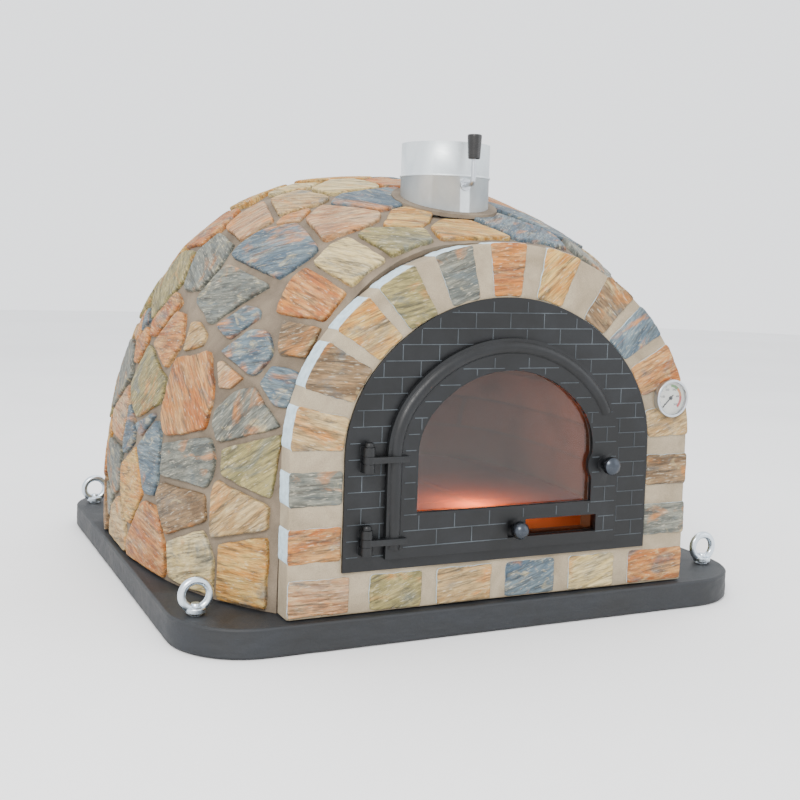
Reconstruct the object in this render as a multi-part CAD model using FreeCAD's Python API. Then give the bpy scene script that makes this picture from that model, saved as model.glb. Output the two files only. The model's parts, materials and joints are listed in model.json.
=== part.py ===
import FreeCAD, Part
import math
import os

from FreeCAD import Vector

# A wood fired oven on a slab: +X right, +Y to the back, +Z up, millimetres.
# The origin is the middle of the slab's underside. The door faces -Y.

# ---- driving dimensions --------------------------------------------------
# slab
BASE_WIDTH = 1000.0
BASE_DEPTH = 1000.0
BASE_THICK = 45.0
BASE_CORNER_R = 120.0
BASE_EDGE_R = 5.0

# lifting eyes, M12
EYE_EDGE_X = 39.0
EYE_EDGE_Y = 97.0
EYE_THREAD_R = 6.0
EYE_SHANK = 20.5
EYE_STANDOFF = 3.0
EYE_COLLAR_R = 15.0
EYE_COLLAR_H = 8.0
EYE_RING_R = 21.0
EYE_BAR_R = 6.0
SOCKET_WALL = 4.0
SOCKET_DEPTH = 30.0

# dome, outer surface
DOME_HALF_WIDTH = 487.0
DOME_HEIGHT = 676.5
DOME_MID_Y = 31.0
DOME_FRONT_REACH = 611.0
DOME_BACK_REACH = 454.0
DOME_FRONT_FALL = 1426.0
PLAN_FRONT_POWER = 2.43
PLAN_BACK_POWER = 2.97
CROWN_FRONT_POWER = 1.29
CROWN_BACK_POWER = 1.9
SECTION_POWER = 2.64

# dome, layers from the outside in
CLADDING = 22.0
RENDER = 15.0
INSULATION = 50.0
REFRACTORY = 50.0

# floor
FLOOR_BOARD = 45.0
FLOOR_TILE = 40.0
TILE_PITCH = 240.0
TILE_JOINT = 1.0

# front wall and the arches that are drawn round the doorway
FACADE_SETBACK = 15.0
FACADE_DEPTH = 42.0
FRAME_HALF_WIDTH = 267.0
FRAME_SPRING_Z = 279.0
FRAME_RISE = 237.0
FRAME_SIDE_R = 209.0
FRAME_BOTTOM_Z = 110.0
RING_WIDTH = 84.0
SILL_STONE_BOTTOM = 3.5
SILL_STONE_TOP = 5.5
MOUTH_DEPTH = 74.0

# frame casting
FRAME_PROUD = 2.0
FRAME_THICK = 10.0
SLEEVE_WALL = 6.0
SLEEVE_DEPTH = 36.0
ANCHOR_R = 4.0
ANCHOR_LENGTH = 30.0
ANCHOR_HEAD_R = 9.0
ANCHOR_HEAD = 6.0
ANCHOR_INSET = 34.0

# door casting
LEAF_INSET = 64.0
LEAF_LIFT = 2.0
LEAF_BOTTOM_Z = 127.5
LEAF_THICK = 8.0
LEAF_GAP = 1.0
LEAF_OVERLAP = 10.0
BEAD_INSET = 14.0
BEAD_R = 11.0
BEAD_PROUD = 5.0
BEAD_END_DEG = 24.0
ROPE_INSET = 2.0
ROPE_WIDTH = 6.0
ROPE_GROOVE = 3.0
ROPE_CLEARANCE = 0.3

# window
WINDOW_INSET = 49.5
WINDOW_BOTTOM_Z = 194.0
GLASS_THICK = 4.0
SEAL_THICK = 1.0
SEAL_WIDTH = 8.0
CLIP_WIDTH = 14.0
CLIP_THICK = 2.0
CLIP_OVER = 6.0
CLIP_FOOT = 10.0
CLIP_SCREW_R = 2.0
CLIP_RELIEF = 0.5
SCREW_HEAD_RATIO = 1.9
SCREW_HEAD = 2.5
SCREW_BITE = 5.0
CLIP_SIDE_Z = 215.0
CLIP_ANGLES = (38.0, 74.0, 106.0, 142.0)

# hinges
HINGE_X = -234.0
HINGE_Z = (155.0, 277.0)
HINGE_PROUD = 10.0
KNUCKLE_WALL = 5.0
KNUCKLE_H = 11.0
EAR_H = 13.0
EAR_GAP = 0.4
ARM_REACH = 62.0
ARM_THICK = 8.0
PIN_R = 4.0
PIN_HEAD_LIP = 3.0
PIN_HEAD = 3.0
RUNNING = 0.06

# latch
LATCH_X = 178.0
LATCH_Z = 252.0
LATCH_BOSS_R = 31.0
LATCH_BOSS_FILLET = 12.0
LATCH_SPINDLE_R = 5.0
LATCH_NECK_WALL = 3.5
LATCH_KNOB_R = 14.0
LATCH_KNOB_LENGTH = 28.0
LATCH_SEAT = 18.0
LATCH_PAD = 1.5
TONGUE_REACH = 32.0
TONGUE_WIDTH = 10.0
TONGUE_THICK = 5.0
TONGUE_GAP = 0.6
LATCH_NUT_WALL = 3.0
LATCH_NUT = 5.0

# air slot and its sliding shutter
SLOT_X0 = 3.5
SLOT_X1 = 165.0
SLOT_Z0 = 145.0
SLOT_Z1 = 172.0
SHUTTER_LAP_X = 5.0
SHUTTER_LAP_Z = 2.5
SHUTTER_THICK = 3.0
SHUTTER_TRAVEL = 130.0
SHUTTER_GAP = 0.4
RAIL_HEIGHT = 4.0
RAIL_LIP = 3.0
RAIL_LIP_THICK = 2.0
RAIL_TAB = 14.0
RAIL_TAB_H = 11.0
RAIL_SCREW_R = 2.0
SHUTTER_KNOB_X = 18.0
SHUTTER_KNOB_R = 14.0
SHUTTER_STEM_R = 4.0
SHUTTER_KNOB_PROUD = 22.0

# flue
FLUE_R = 75.0
FLUE_WALL = 1.5
FLUE_Y = -248.0
FLUE_TAIL = 128.5
FLUE_RISE = 87.5
FLUE_BEAD_RISE = 32.5
FLUE_BEAD_R = 2.5
FLUE_BEAD_SINK = 0.5
FLUE_FIT = 1.0
COLLAR_WIDTH = 15.0
COLLAR_PROUD = 7.0

# damper
DAMPER_RISE = 17.5
DAMPER_CLEARANCE = 5.5
DAMPER_THICK = 3.0
ROD_R = 4.0
ROD_FRONT = 27.0
ROD_BEND_R = 10.0
GRIP_LENGTH = 40.0
GRIP_FOOT_R = 10.0
GRIP_TOP_R = 12.0
GRIP_TOP_RISE = 80.0
GRIP_EDGE = 2.5
BUSH_WALL = 3.0
BUSH_LIP = 2.5
BUSH_FLANGE = 2.5
STUD_R = 2.5
STUD_OFFSET = 40.0

# thermometer
GAUGE_X = 306.0
GAUGE_Z = 355.0
GAUGE_CASE_R = 29.0
GAUGE_CASE_DEPTH = 10.0
GAUGE_WALL = 1.0
GAUGE_FLOOR = 4.4
DIAL_THICK = 0.6
BEZEL_LAP = 2.0
BEZEL_EDGE = 1.5
BEZEL_DEPTH = 5.0
LENS_THICK = 2.0
NEEDLE_LENGTH = 21.0
NEEDLE_TAIL = 7.0
NEEDLE_WIDTH = 1.6
NEEDLE_THICK = 0.6
NEEDLE_HUB_R = 3.0
NEEDLE_SHAFT_R = 1.2
NEEDLE_REST_DEG = -135.0
PROBE_R = 4.0
PROBE_LENGTH = 190.0
PROBE_FIT = 0.2

# stones of the front wall: arch stones by angle from the left springing,
# side stones by height, sill stones by distance from the middle
ARCH_STONES = ((2, 13), (17, 30), (33, 45), (48, 60), (66, 78), (83, 95),
               (101, 113), (123, 134), (137, 148), (151, 163), (168, 178))
SIDE_STONES = ((126.0, 180.0), (209.0, 262.0))
SILL_STONES = ((-349.0, -252.0), (-223.0, -134.0), (-112.0, -15.0),
               (8.0, 100.0), (124.0, 214.0), (239.0, 349.0))

# ---- places worked out from the dimensions -------------------------------
TOP_Z = BASE_THICK
FRONT_Y = -BASE_DEPTH / 2 + FACADE_SETBACK
WALL_Y = FRONT_Y + FACADE_DEPTH
FRAME_Y = FRONT_Y - FRAME_PROUD
FRAME_BACK_Y = FRAME_Y + FRAME_THICK
MOUTH_Y = FRAME_BACK_Y + MOUTH_DEPTH
LEAF_BACK_Y = FRAME_Y - LEAF_GAP
LEAF_Y = LEAF_BACK_Y - LEAF_THICK
HINGE_Y = FRAME_Y - HINGE_PROUD
BOARD_Z = TOP_Z + FLOOR_BOARD
FLOOR_Z = BOARD_Z + FLOOR_TILE
CHAMBER_INSET = CLADDING + RENDER + INSULATION + REFRACTORY
LEAF_SPRING_Z = FRAME_SPRING_Z + LEAF_LIFT
FAR = 2.0 * BASE_WIDTH
KNUCKLE_R = PIN_R + KNUCKLE_WALL
PIN_HEAD_R = PIN_R + PIN_HEAD_LIP
LATCH_NECK_R = LATCH_SPINDLE_R + LATCH_NECK_WALL
LATCH_NUT_R = LATCH_SPINDLE_R + LATCH_NUT_WALL
FLUE_BOTTOM_Z = DOME_HEIGHT - FLUE_TAIL
FLUE_TOP_Z = DOME_HEIGHT + FLUE_RISE
FLUE_BEAD_Z = DOME_HEIGHT + FLUE_BEAD_RISE
DAMPER_Z = DOME_HEIGHT + DAMPER_RISE
DAMPER_R = FLUE_R - FLUE_WALL - DAMPER_CLEARANCE
BUSH_R = ROD_R + BUSH_WALL
BUSH_FLANGE_R = BUSH_R + BUSH_LIP
BEZEL_R = GAUGE_CASE_R + BEZEL_LAP
BEZEL_LIP_R = GAUGE_CASE_R - BEZEL_LAP

AXIS_X = Vector(1, 0, 0)
AXIS_Y = Vector(0, 1, 0)
AXIS_Z = Vector(0, 0, 1)


# ---- small helpers -------------------------------------------------------
def box(x0, x1, y0, y1, z0, z1):
    """A block between two corners."""
    return Part.makeBox(x1 - x0, y1 - y0, z1 - z0, Vector(x0, y0, z0))


def rod_y(radius, x, z, y0, y1):
    """A round bar along Y."""
    return Part.makeCylinder(radius, y1 - y0, Vector(x, y0, z), AXIS_Y)


def rod_z(radius, x, y, z0, z1):
    """A round bar along Z."""
    return Part.makeCylinder(radius, z1 - z0, Vector(x, y, z0), AXIS_Z)


def tube_y(outer, inner, x, z, y0, y1):
    """A round tube along Y."""
    return rod_y(outer, x, z, y0, y1).cut(rod_y(inner, x, z, y0 - 1, y1 + 1))


def prism(wire, depth):
    """An outline in the XZ plane made solid towards +Y."""
    return Part.Face(wire).extrude(Vector(0, depth, 0))


def group(solids):
    """Separate solids that share one node."""
    return Part.makeCompound(solids)


def fuse_all(solids):
    """One solid from several that meet."""
    return solids[0].multiFuse(solids[1:]).removeSplitter()


class Arch:
    """A three-centred arch with straight sides down to a flat foot."""

    def __init__(self, half_width, rise, spring_z, bottom_z, side_r):
        self.a = half_width
        self.h = rise
        self.spring = spring_z
        self.bottom = bottom_z
        self.side_r = side_r
        reach = half_width - side_r
        self.crown_r = (reach ** 2 + rise ** 2 - side_r ** 2) / (2 * (rise - side_r))
        self.side_c = reach
        self.crown_c = spring_z + rise - self.crown_r
        self.join = math.degrees(math.atan2(spring_z - self.crown_c, reach))

    def inset(self, d, bottom_z=None):
        """The parallel arch d inside this one."""
        foot = self.bottom + d if bottom_z is None else bottom_z
        return Arch(self.a - d, self.h - d, self.spring, foot, self.side_r - d)

    def point(self, deg):
        """The point whose normal makes this angle with +X, as (x, z)."""
        c, s = math.cos(math.radians(deg)), math.sin(math.radians(deg))
        if deg < self.join:
            return self.side_c + self.side_r * c, self.spring + self.side_r * s
        if deg > 180 - self.join:
            return -self.side_c + self.side_r * c, self.spring + self.side_r * s
        return self.crown_r * c, self.crown_c + self.crown_r * s

    def wire(self, y):
        """The closed outline at depth y."""
        def at(deg):
            x, z = self.point(deg)
            return Vector(x, y, z)
        turns = (180, 180 - self.join, self.join, 0)
        arcs = [Part.Arc(at(p), at((p + q) / 2), at(q)).toShape()
                for p, q in zip(turns, turns[1:])]
        left, right = Vector(-self.a, y, self.bottom), Vector(self.a, y, self.bottom)
        edges = [Part.makeLine(left, at(180))] + arcs
        edges += [Part.makeLine(at(0), right), Part.makeLine(right, left)]
        return Part.Wire(edges)

    def solid(self, y0, y1):
        """The arch filled from y0 to y1."""
        return prism(self.wire(y0), y1 - y0)


FRAME_ARCH = Arch(FRAME_HALF_WIDTH, FRAME_RISE, FRAME_SPRING_Z, FRAME_BOTTOM_Z, FRAME_SIDE_R)
FACADE_ARCH = FRAME_ARCH.inset(-RING_WIDTH, TOP_Z)
LEAF_ARCH = Arch(FRAME_HALF_WIDTH - LEAF_INSET, FRAME_RISE - LEAF_INSET, LEAF_SPRING_Z,
                 LEAF_BOTTOM_Z, FRAME_SIDE_R - LEAF_INSET)
OPENING_ARCH = LEAF_ARCH.inset(LEAF_OVERLAP)
SLEEVE_ARCH = OPENING_ARCH.inset(-SLEEVE_WALL)
WINDOW_ARCH = LEAF_ARCH.inset(WINDOW_INSET, WINDOW_BOTTOM_Z)
GLASS_ARCH = WINDOW_ARCH.inset(-SEAL_WIDTH, WINDOW_BOTTOM_Z - SEAL_WIDTH)


# ---- dome ----------------------------------------------------------------
def plan_half_width(y, inset):
    """Half the dome's width at depth y."""
    if y < DOME_MID_Y:
        share, power = (DOME_MID_Y - y) / DOME_FRONT_REACH, PLAN_FRONT_POWER
    else:
        share, power = (y - DOME_MID_Y) / (DOME_BACK_REACH - inset), PLAN_BACK_POWER
    return (DOME_HALF_WIDTH - inset) * (1 - share ** power) ** (1 / power)


def crown_height(y, inset):
    """The dome's height over the slab at depth y."""
    if y < 0:
        share, power = -y / DOME_FRONT_FALL, CROWN_FRONT_POWER
    else:
        share, power = y / (DOME_BACK_REACH + DOME_MID_Y - inset), CROWN_BACK_POWER
    return (DOME_HEIGHT - inset) * (1 - share ** power) ** (1 / power)


def dome_section(y, inset):
    """The closed arch section of the dome at depth y."""
    w, h = plan_half_width(y, inset), crown_height(y, inset)
    points = []
    steps = 14
    for i in range(steps + 1):
        turn = math.pi * i / steps
        c, s = math.cos(turn), math.sin(turn)
        x = -math.copysign(abs(c) ** (2 / SECTION_POWER), c) * w
        points.append(Vector(x, y, TOP_Z + abs(s) ** (2 / SECTION_POWER) * h))
    curve = Part.BSplineCurve()
    curve.interpolate(points, InitialTangent=AXIS_Z, FinalTangent=-AXIS_Z)
    foot = TOP_Z - BASE_THICK
    left, right = Vector(-w, y, foot), Vector(w, y, foot)
    edges = [Part.makeLine(left, points[0]), curve.toShape(),
             Part.makeLine(points[-1], right), Part.makeLine(right, left)]
    return Part.Wire(edges)


def dome_solid(inset):
    """The dome's whole volume, inset from the outer surface."""
    front = WALL_Y - 20.0
    back = DOME_BACK_REACH - inset
    depths = [front + (DOME_MID_Y - front) * i / 5 for i in range(5)]
    depths += [DOME_MID_Y + back * math.sin(math.radians(t)) for t in (0, 18, 34, 48, 60, 70, 78, 84)]
    loft = Part.makeLoft([dome_section(y, inset) for y in depths], True, False)
    return loft.common(box(-FAR, FAR, WALL_Y, FAR, TOP_Z, FAR))


CLAD_IN = CLADDING
RENDER_IN = CLAD_IN + RENDER
BLANKET_IN = RENDER_IN + INSULATION


def dome_layers():
    """The four shells and the hollow chamber, from outside in."""
    solids = [dome_solid(d) for d in (0, CLAD_IN, RENDER_IN, BLANKET_IN, CHAMBER_INSET)]
    flue = rod_z(FLUE_R + FLUE_FIT, 0, FLUE_Y, FLOOR_Z, FAR)
    probe = rod_y(PROBE_R + PROBE_FIT, GAUGE_X, GAUGE_Z, FRONT_Y, FRONT_Y + PROBE_LENGTH + PROBE_FIT)
    shells = [a.cut(b).cut(flue).cut(probe) for a, b in zip(solids, solids[1:])]
    return shells, solids[0], solids[-1]


# ---- slab ----------------------------------------------------------------
def eye_places():
    """Where the four lifting eyes stand, as (x, y)."""
    x = BASE_WIDTH / 2 - EYE_EDGE_X
    y = BASE_DEPTH / 2 - EYE_EDGE_Y
    return [(-x, -y), (x, -y), (-x, y), (x, y)]


def base_slab():
    """The slab with rounded corners and four socket holes."""
    w, d = BASE_WIDTH / 2, BASE_DEPTH / 2
    slab = box(-w, w, -d, d, 0, TOP_Z)
    upright = [e for e in slab.Edges if abs(e.Vertexes[0].Z - e.Vertexes[1].Z) > 1]
    slab = slab.makeFillet(BASE_CORNER_R, upright)
    rim = [e for e in slab.Edges if e.BoundBox.ZMin > TOP_Z - 0.01]
    slab = slab.makeFillet(BASE_EDGE_R, rim)
    for x, y in eye_places():
        slab = slab.cut(rod_z(EYE_THREAD_R + SOCKET_WALL, x, y, TOP_Z - SOCKET_DEPTH, FAR))
    return slab


def lift_sockets():
    """Threaded sockets cast into the slab under the lifting eyes."""
    sockets = []
    for x, y in eye_places():
        body = rod_z(EYE_THREAD_R + SOCKET_WALL, x, y, TOP_Z - SOCKET_DEPTH, TOP_Z)
        sockets.append(body.cut(rod_z(EYE_THREAD_R, x, y, TOP_Z - SOCKET_DEPTH + SOCKET_WALL, FAR)))
    return group(sockets)


def lift_eyes():
    """Four lifting eyes, each a ring on a collar with a threaded shank."""
    eyes = []
    for x, y in eye_places():
        foot = TOP_Z + EYE_STANDOFF
        shank = rod_z(EYE_THREAD_R, x, y, foot - EYE_SHANK, foot)
        collar = rod_z(EYE_COLLAR_R, x, y, foot, foot + EYE_COLLAR_H)
        middle = Vector(x, y, foot + EYE_COLLAR_H + EYE_RING_R - EYE_BAR_R / 2)
        ring = Part.makeTorus(EYE_RING_R, EYE_BAR_R, middle, AXIS_Y)
        eyes.append(fuse_all([shank, collar, ring]))
    return group(eyes)


# ---- floor ---------------------------------------------------------------
def floor_board(chamber):
    """The insulating board under the floor tiles."""
    return chamber.common(box(-FAR, FAR, MOUTH_Y, FAR, TOP_Z, BOARD_Z))


def floor_tiles(chamber):
    """Square fire tiles, trimmed to the chamber."""
    bed = chamber.common(box(-FAR, FAR, MOUTH_Y, FAR, BOARD_Z, FLOOR_Z))
    bounds = bed.BoundBox
    across = math.ceil(bounds.XLength / 2 / TILE_PITCH - 0.5)
    along = math.ceil(bounds.YLength / TILE_PITCH)
    tiles = []
    for i in range(-across, across + 1):
        for j in range(along):
            x = (i - 0.5) * TILE_PITCH
            y = MOUTH_Y + j * TILE_PITCH
            cell = box(x, x + TILE_PITCH - TILE_JOINT, y, y + TILE_PITCH - TILE_JOINT,
                       BOARD_Z, FLOOR_Z)
            tiles += [s for s in bed.common(cell).Solids]
    return group(tiles)


# ---- front wall ----------------------------------------------------------
def ring_solid():
    """The whole front wall round and under the frame."""
    wall = FACADE_ARCH.solid(FRONT_Y, WALL_Y)
    return wall.cut(FRAME_ARCH.solid(FRONT_Y - 1, WALL_Y + 1))


def wedge(deg0, deg1):
    """A radial wedge of space between two angles from the left springing."""
    reach = FAR
    def at(deg):
        turn = math.radians(180 - deg)
        return Vector(reach * math.cos(turn), FRONT_Y - 1, FRAME_SPRING_Z + reach * math.sin(turn))
    middle = Vector(0, FRONT_Y - 1, FRAME_SPRING_Z)
    wire = Part.makePolygon([middle, at(deg0), at(deg1), middle])
    return prism(wire, FACADE_DEPTH + 2)


def wall_slice(x0, x1, z0, z1):
    """A block of space through the front wall."""
    return box(x0, x1, FRONT_Y - 1, WALL_Y + 1, z0, z1)


def stones_from(wall, spaces):
    """One stone for each space that is cut out of the wall."""
    found = []
    for space in spaces:
        found += wall.common(space).Solids
    return found


def probe_hole(shape):
    """The shape with the thermometer's stem hole through it."""
    return shape.cut(rod_y(PROBE_R + PROBE_FIT, GAUGE_X, GAUGE_Z, FRONT_Y - 1, WALL_Y + 1))


def front_wall():
    """Arch stones, arch mortar, sill stones and sill mortar."""
    ring = ring_solid()
    upper = ring.common(wall_slice(-FAR, FAR, FRAME_BOTTOM_Z, FAR))
    lower = ring.common(wall_slice(-FAR, FAR, TOP_Z, FRAME_BOTTOM_Z))
    spaces = [wedge(a, b) for a, b in ARCH_STONES]
    spaces += [wall_slice(-FAR, 0, a, b) for a, b in SIDE_STONES]
    spaces += [wall_slice(0, FAR, a, b) for a, b in SIDE_STONES]
    arch = stones_from(upper, spaces)
    z0, z1 = TOP_Z + SILL_STONE_BOTTOM, FRAME_BOTTOM_Z - SILL_STONE_TOP
    sill = stones_from(lower, [wall_slice(a, b, z0, z1) for a, b in SILL_STONES])
    arch_mortar = probe_hole(upper.cut(group(arch)))
    sill_mortar = lower.cut(group(sill))
    arch = [probe_hole(s) for s in arch]
    return group(arch), arch_mortar, group(sill), sill_mortar


def anchor_places():
    """Where the frame's anchors go, as (x, z)."""
    ring = FRAME_ARCH.inset(ANCHOR_INSET)
    low = (FRAME_BOTTOM_Z + FRAME_SPRING_Z) / 2
    places = [(-ring.a, low), (ring.a, low)]
    return places + [ring.point(deg) for deg in (45.0, 90.0, 135.0)]


def anchor_solids(fit=0.0):
    """Headed anchors that stand out of the frame's back."""
    end = FRAME_BACK_Y + ANCHOR_LENGTH
    anchors = []
    for x, z in anchor_places():
        shank = rod_y(ANCHOR_R + fit, x, z, FRAME_BACK_Y, end)
        head = rod_y(ANCHOR_HEAD_R + fit, x, z, end - ANCHOR_HEAD - fit, end + fit)
        anchors.append(shank.fuse(head).removeSplitter())
    return anchors


def tongue_pocket():
    """The space behind the frame that the latch tongue turns into."""
    return box(LATCH_X, LATCH_X + TONGUE_REACH + 6, FRAME_BACK_Y,
               FRAME_BACK_Y + TONGUE_THICK + 8, LATCH_Z - TONGUE_REACH - 4, LATCH_Z + TONGUE_WIDTH)


def mouth_arch(chamber):
    """The refractory wall round the doorway, behind the frame."""
    front = FRAME_ARCH.solid(FRAME_BACK_Y, WALL_Y)
    back = chamber.common(box(-FAR, FAR, WALL_Y - 1, MOUTH_Y, TOP_Z, FAR))
    hole = SLEEVE_ARCH.solid(FRAME_BACK_Y - 1, MOUTH_Y + 1)
    wall = fuse_all([front, back]).cut(hole).cut(tongue_pocket())
    return wall.cut(group(anchor_solids()))


# ---- frame casting -------------------------------------------------------
def hinge_ears():
    """The two ears of each hinge, with webs to the frame's face."""
    ears = []
    for z in HINGE_Z:
        reach = KNUCKLE_H / 2 + EAR_GAP
        for low in (z - reach - EAR_H, z + reach):
            eye = rod_z(KNUCKLE_R, HINGE_X, HINGE_Y, low, low + EAR_H)
            web = box(HINGE_X - KNUCKLE_R, HINGE_X + KNUCKLE_R, HINGE_Y, FRAME_Y, low, low + EAR_H)
            ears += [eye, web]
    return ears


def pin_holes(radius):
    """The space of the hinge pins."""
    length = KNUCKLE_H / 2 + EAR_GAP + EAR_H
    return [rod_z(radius, HINGE_X, HINGE_Y, z - length - 1, z + length + 1) for z in HINGE_Z]


def door_frame():
    """The cast frame: arched plate, sleeve into the mouth and hinge ears."""
    plate = FRAME_ARCH.solid(FRAME_Y, FRAME_BACK_Y)
    sleeve = SLEEVE_ARCH.solid(FRAME_BACK_Y - 1, FRAME_BACK_Y + SLEEVE_DEPTH)
    body = fuse_all([plate, sleeve] + hinge_ears())
    body = body.cut(OPENING_ARCH.solid(FRAME_Y - 1, FRAME_BACK_Y + SLEEVE_DEPTH + 1))
    return body.cut(group(pin_holes(PIN_R))).cut(tongue_pocket())


def hinge_pins():
    """Headed pins, held in the frame's ears."""
    pins = []
    length = KNUCKLE_H / 2 + EAR_GAP + EAR_H
    for z in HINGE_Z:
        shank = rod_z(PIN_R, HINGE_X, HINGE_Y, z - length, z + length)
        head = rod_z(PIN_HEAD_R, HINGE_X, HINGE_Y, z + length, z + length + PIN_HEAD)
        pins.append(shank.fuse(head).removeSplitter())
    return group(pins)


# ---- door casting --------------------------------------------------------
def bead_profile(x, y, z):
    """Half of the bead's round section, flat to the back, standing across +X."""
    ends = [Vector(x - BEAD_R, y, z), Vector(x, y - BEAD_R, z), Vector(x + BEAD_R, y, z)]
    arc = Part.Arc(*ends).toShape()
    return Part.Face(Part.Wire([arc, Part.makeLine(ends[2], ends[0])]))


def bead():
    """The half-round bead along the left edge and over the arch."""
    path = LEAF_ARCH.inset(BEAD_INSET)
    y = LEAF_Y - BEAD_PROUD + BEAD_R
    pieces = [bead_profile(-path.a, y, path.bottom).extrude(Vector(0, 0, path.spring - path.bottom))]
    spans = ((-path.side_c, path.spring, path.side_r, 180 - path.join, 180),
             (0, path.crown_c, path.crown_r, path.join, 180 - path.join),
             (path.side_c, path.spring, path.side_r, BEAD_END_DEG, path.join))
    for x, z, r, start, end in spans:
        sweep = bead_profile(x + r, y, z)
        sweep.rotate(Vector(x, y, z), AXIS_Y, -start)
        pieces.append(sweep.revolve(Vector(x, y, z), AXIS_Y, start - end))
    return pieces


def window_space():
    """The window's opening, with the latch boss reaching into it."""
    space = WINDOW_ARCH.solid(LEAF_Y - 10, LEAF_BACK_Y + 1)
    space = space.cut(rod_y(LATCH_BOSS_R, LATCH_X, LATCH_Z, LEAF_Y - 11, LEAF_BACK_Y + 2))
    reach = math.sqrt(LATCH_BOSS_R ** 2 - (LATCH_X - WINDOW_ARCH.a) ** 2)
    corners = []
    for edge in space.Edges:
        spot = edge.CenterOfMass
        beside = abs(spot.x - WINDOW_ARCH.a) < 0.1
        if beside and min(abs(spot.z - LATCH_Z - reach), abs(spot.z - LATCH_Z + reach)) < 0.1:
            corners.append(edge)
    return space.makeFillet(LATCH_BOSS_FILLET, corners)


def rope_ring():
    """The door rope's path, as a pair of arches."""
    outer = LEAF_ARCH.inset(ROPE_INSET)
    return outer, outer.inset(ROPE_WIDTH)


def rope_solid():
    """The rope seal in its groove round the leaf's back."""
    outer, inner = rope_ring()
    y0, y1 = LEAF_BACK_Y - ROPE_GROOVE, FRAME_Y - ROPE_CLEARANCE
    return outer.solid(y0, y1).cut(inner.solid(y0 - 1, y1 + 1))


def clip_places():
    """Where the glass clips sit, as (x, z, outward angle)."""
    places = [(-GLASS_ARCH.a, CLIP_SIDE_Z, 180.0), (GLASS_ARCH.a, CLIP_SIDE_Z, 0.0)]
    for deg in CLIP_ANGLES:
        x, z = GLASS_ARCH.point(deg)
        places.append((x, z, deg))
    return places


def at_clip(shape, place):
    """A shape drawn with +X outwards, moved to a clip's place."""
    x, z, deg = place
    moved = shape.copy()
    moved.rotate(Vector(0, 0, 0), AXIS_Y, -deg)
    moved.translate(Vector(x, 0, z))
    return moved


def glass_back_y():
    """The depth of the glass's inner face."""
    return LEAF_BACK_Y + SEAL_THICK + GLASS_THICK


def glass_clips():
    """Z-shaped clips that hold the glass to the leaf."""
    y = glass_back_y()
    half = CLIP_WIDTH / 2
    tab = box(-CLIP_OVER, CLIP_FOOT, y, y + CLIP_THICK, -half, half)
    foot = box(CLIP_RELIEF, CLIP_FOOT, LEAF_BACK_Y, y, -half, half)
    clip = fuse_all([tab, foot])
    hole = rod_y(CLIP_SCREW_R, (CLIP_FOOT + CLIP_RELIEF) / 2, 0, LEAF_BACK_Y - 1, y + 9)
    clip = clip.cut(hole)
    return group([at_clip(clip, p) for p in clip_places()])


def clip_screw(fit=0.0):
    """One screw through a clip into the leaf."""
    y = glass_back_y() + CLIP_THICK
    x = (CLIP_FOOT + CLIP_RELIEF) / 2
    shank = rod_y(CLIP_SCREW_R, x, 0, LEAF_BACK_Y - SCREW_BITE, y)
    head = rod_y(CLIP_SCREW_R * SCREW_HEAD_RATIO, x, 0, y, y + SCREW_HEAD)
    return shank.fuse(head).removeSplitter()


def shutter_box():
    """The shutter plate's corners in X and Z at rest."""
    x1 = SLOT_X1 + SHUTTER_LAP_X - SHUTTER_TRAVEL
    x0 = SLOT_X0 - SHUTTER_LAP_X - SHUTTER_TRAVEL
    return x0, x1, SLOT_Z0 - SHUTTER_LAP_Z, SLOT_Z1 + SHUTTER_LAP_Z


def rail_screw_places():
    """Where the rail screws go, as (x, z)."""
    x0, x1, z0, z1 = shutter_box()
    left = x0 - SHUTTER_GAP - RAIL_TAB / 2
    right = x1 + SHUTTER_TRAVEL + SHUTTER_GAP + RAIL_TAB / 2
    low, high = z0 - RAIL_HEIGHT + RAIL_TAB_H / 2, z1 + RAIL_HEIGHT - RAIL_TAB_H / 2
    return [(x, z) for x in (left, right) for z in (low, high)]


def shutter_rails():
    """Two guide rails with end tabs that stop the shutter."""
    x0, x1, z0, z1 = shutter_box()
    left, right = x0 - SHUTTER_GAP, x1 + SHUTTER_TRAVEL + SHUTTER_GAP
    y0 = LEAF_BACK_Y
    y1 = y0 + SHUTTER_THICK + 2 * SHUTTER_GAP
    y2 = y1 + RAIL_LIP_THICK
    rails = []
    for edge, side in ((z0, -1), (z1, 1)):
        def span(xa, xb, ya, yb, near, far):
            low, high = sorted((edge + side * near, edge + side * far))
            return box(xa, xb, ya, yb, low, high)
        bar = span(left - RAIL_TAB, right + RAIL_TAB, y0, y2, SHUTTER_GAP, RAIL_HEIGHT)
        lip = span(left, right, y1, y2, -RAIL_LIP, RAIL_HEIGHT)
        inward = RAIL_HEIGHT - RAIL_TAB_H
        tabs = [span(left - RAIL_TAB, left, y0, y2, inward, RAIL_HEIGHT),
                span(right, right + RAIL_TAB, y0, y2, inward, RAIL_HEIGHT)]
        rails.append(fuse_all([bar, lip] + tabs))
    holes = [rod_y(RAIL_SCREW_R, x, z, y0 - 1, y2 + 1) for x, z in rail_screw_places()]
    return group([rail.cut(group(holes)) for rail in rails])


def rail_screws():
    """Screws that hold the rails to the leaf."""
    y = LEAF_BACK_Y + SHUTTER_THICK + 2 * SHUTTER_GAP + RAIL_LIP_THICK
    screws = []
    for x, z in rail_screw_places():
        shank = rod_y(RAIL_SCREW_R, x, z, LEAF_BACK_Y - 5, y)
        head = rod_y(RAIL_SCREW_R * SCREW_HEAD_RATIO, x, z, y, y + SCREW_HEAD)
        screws.append(shank.fuse(head).removeSplitter())
    return screws


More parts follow.
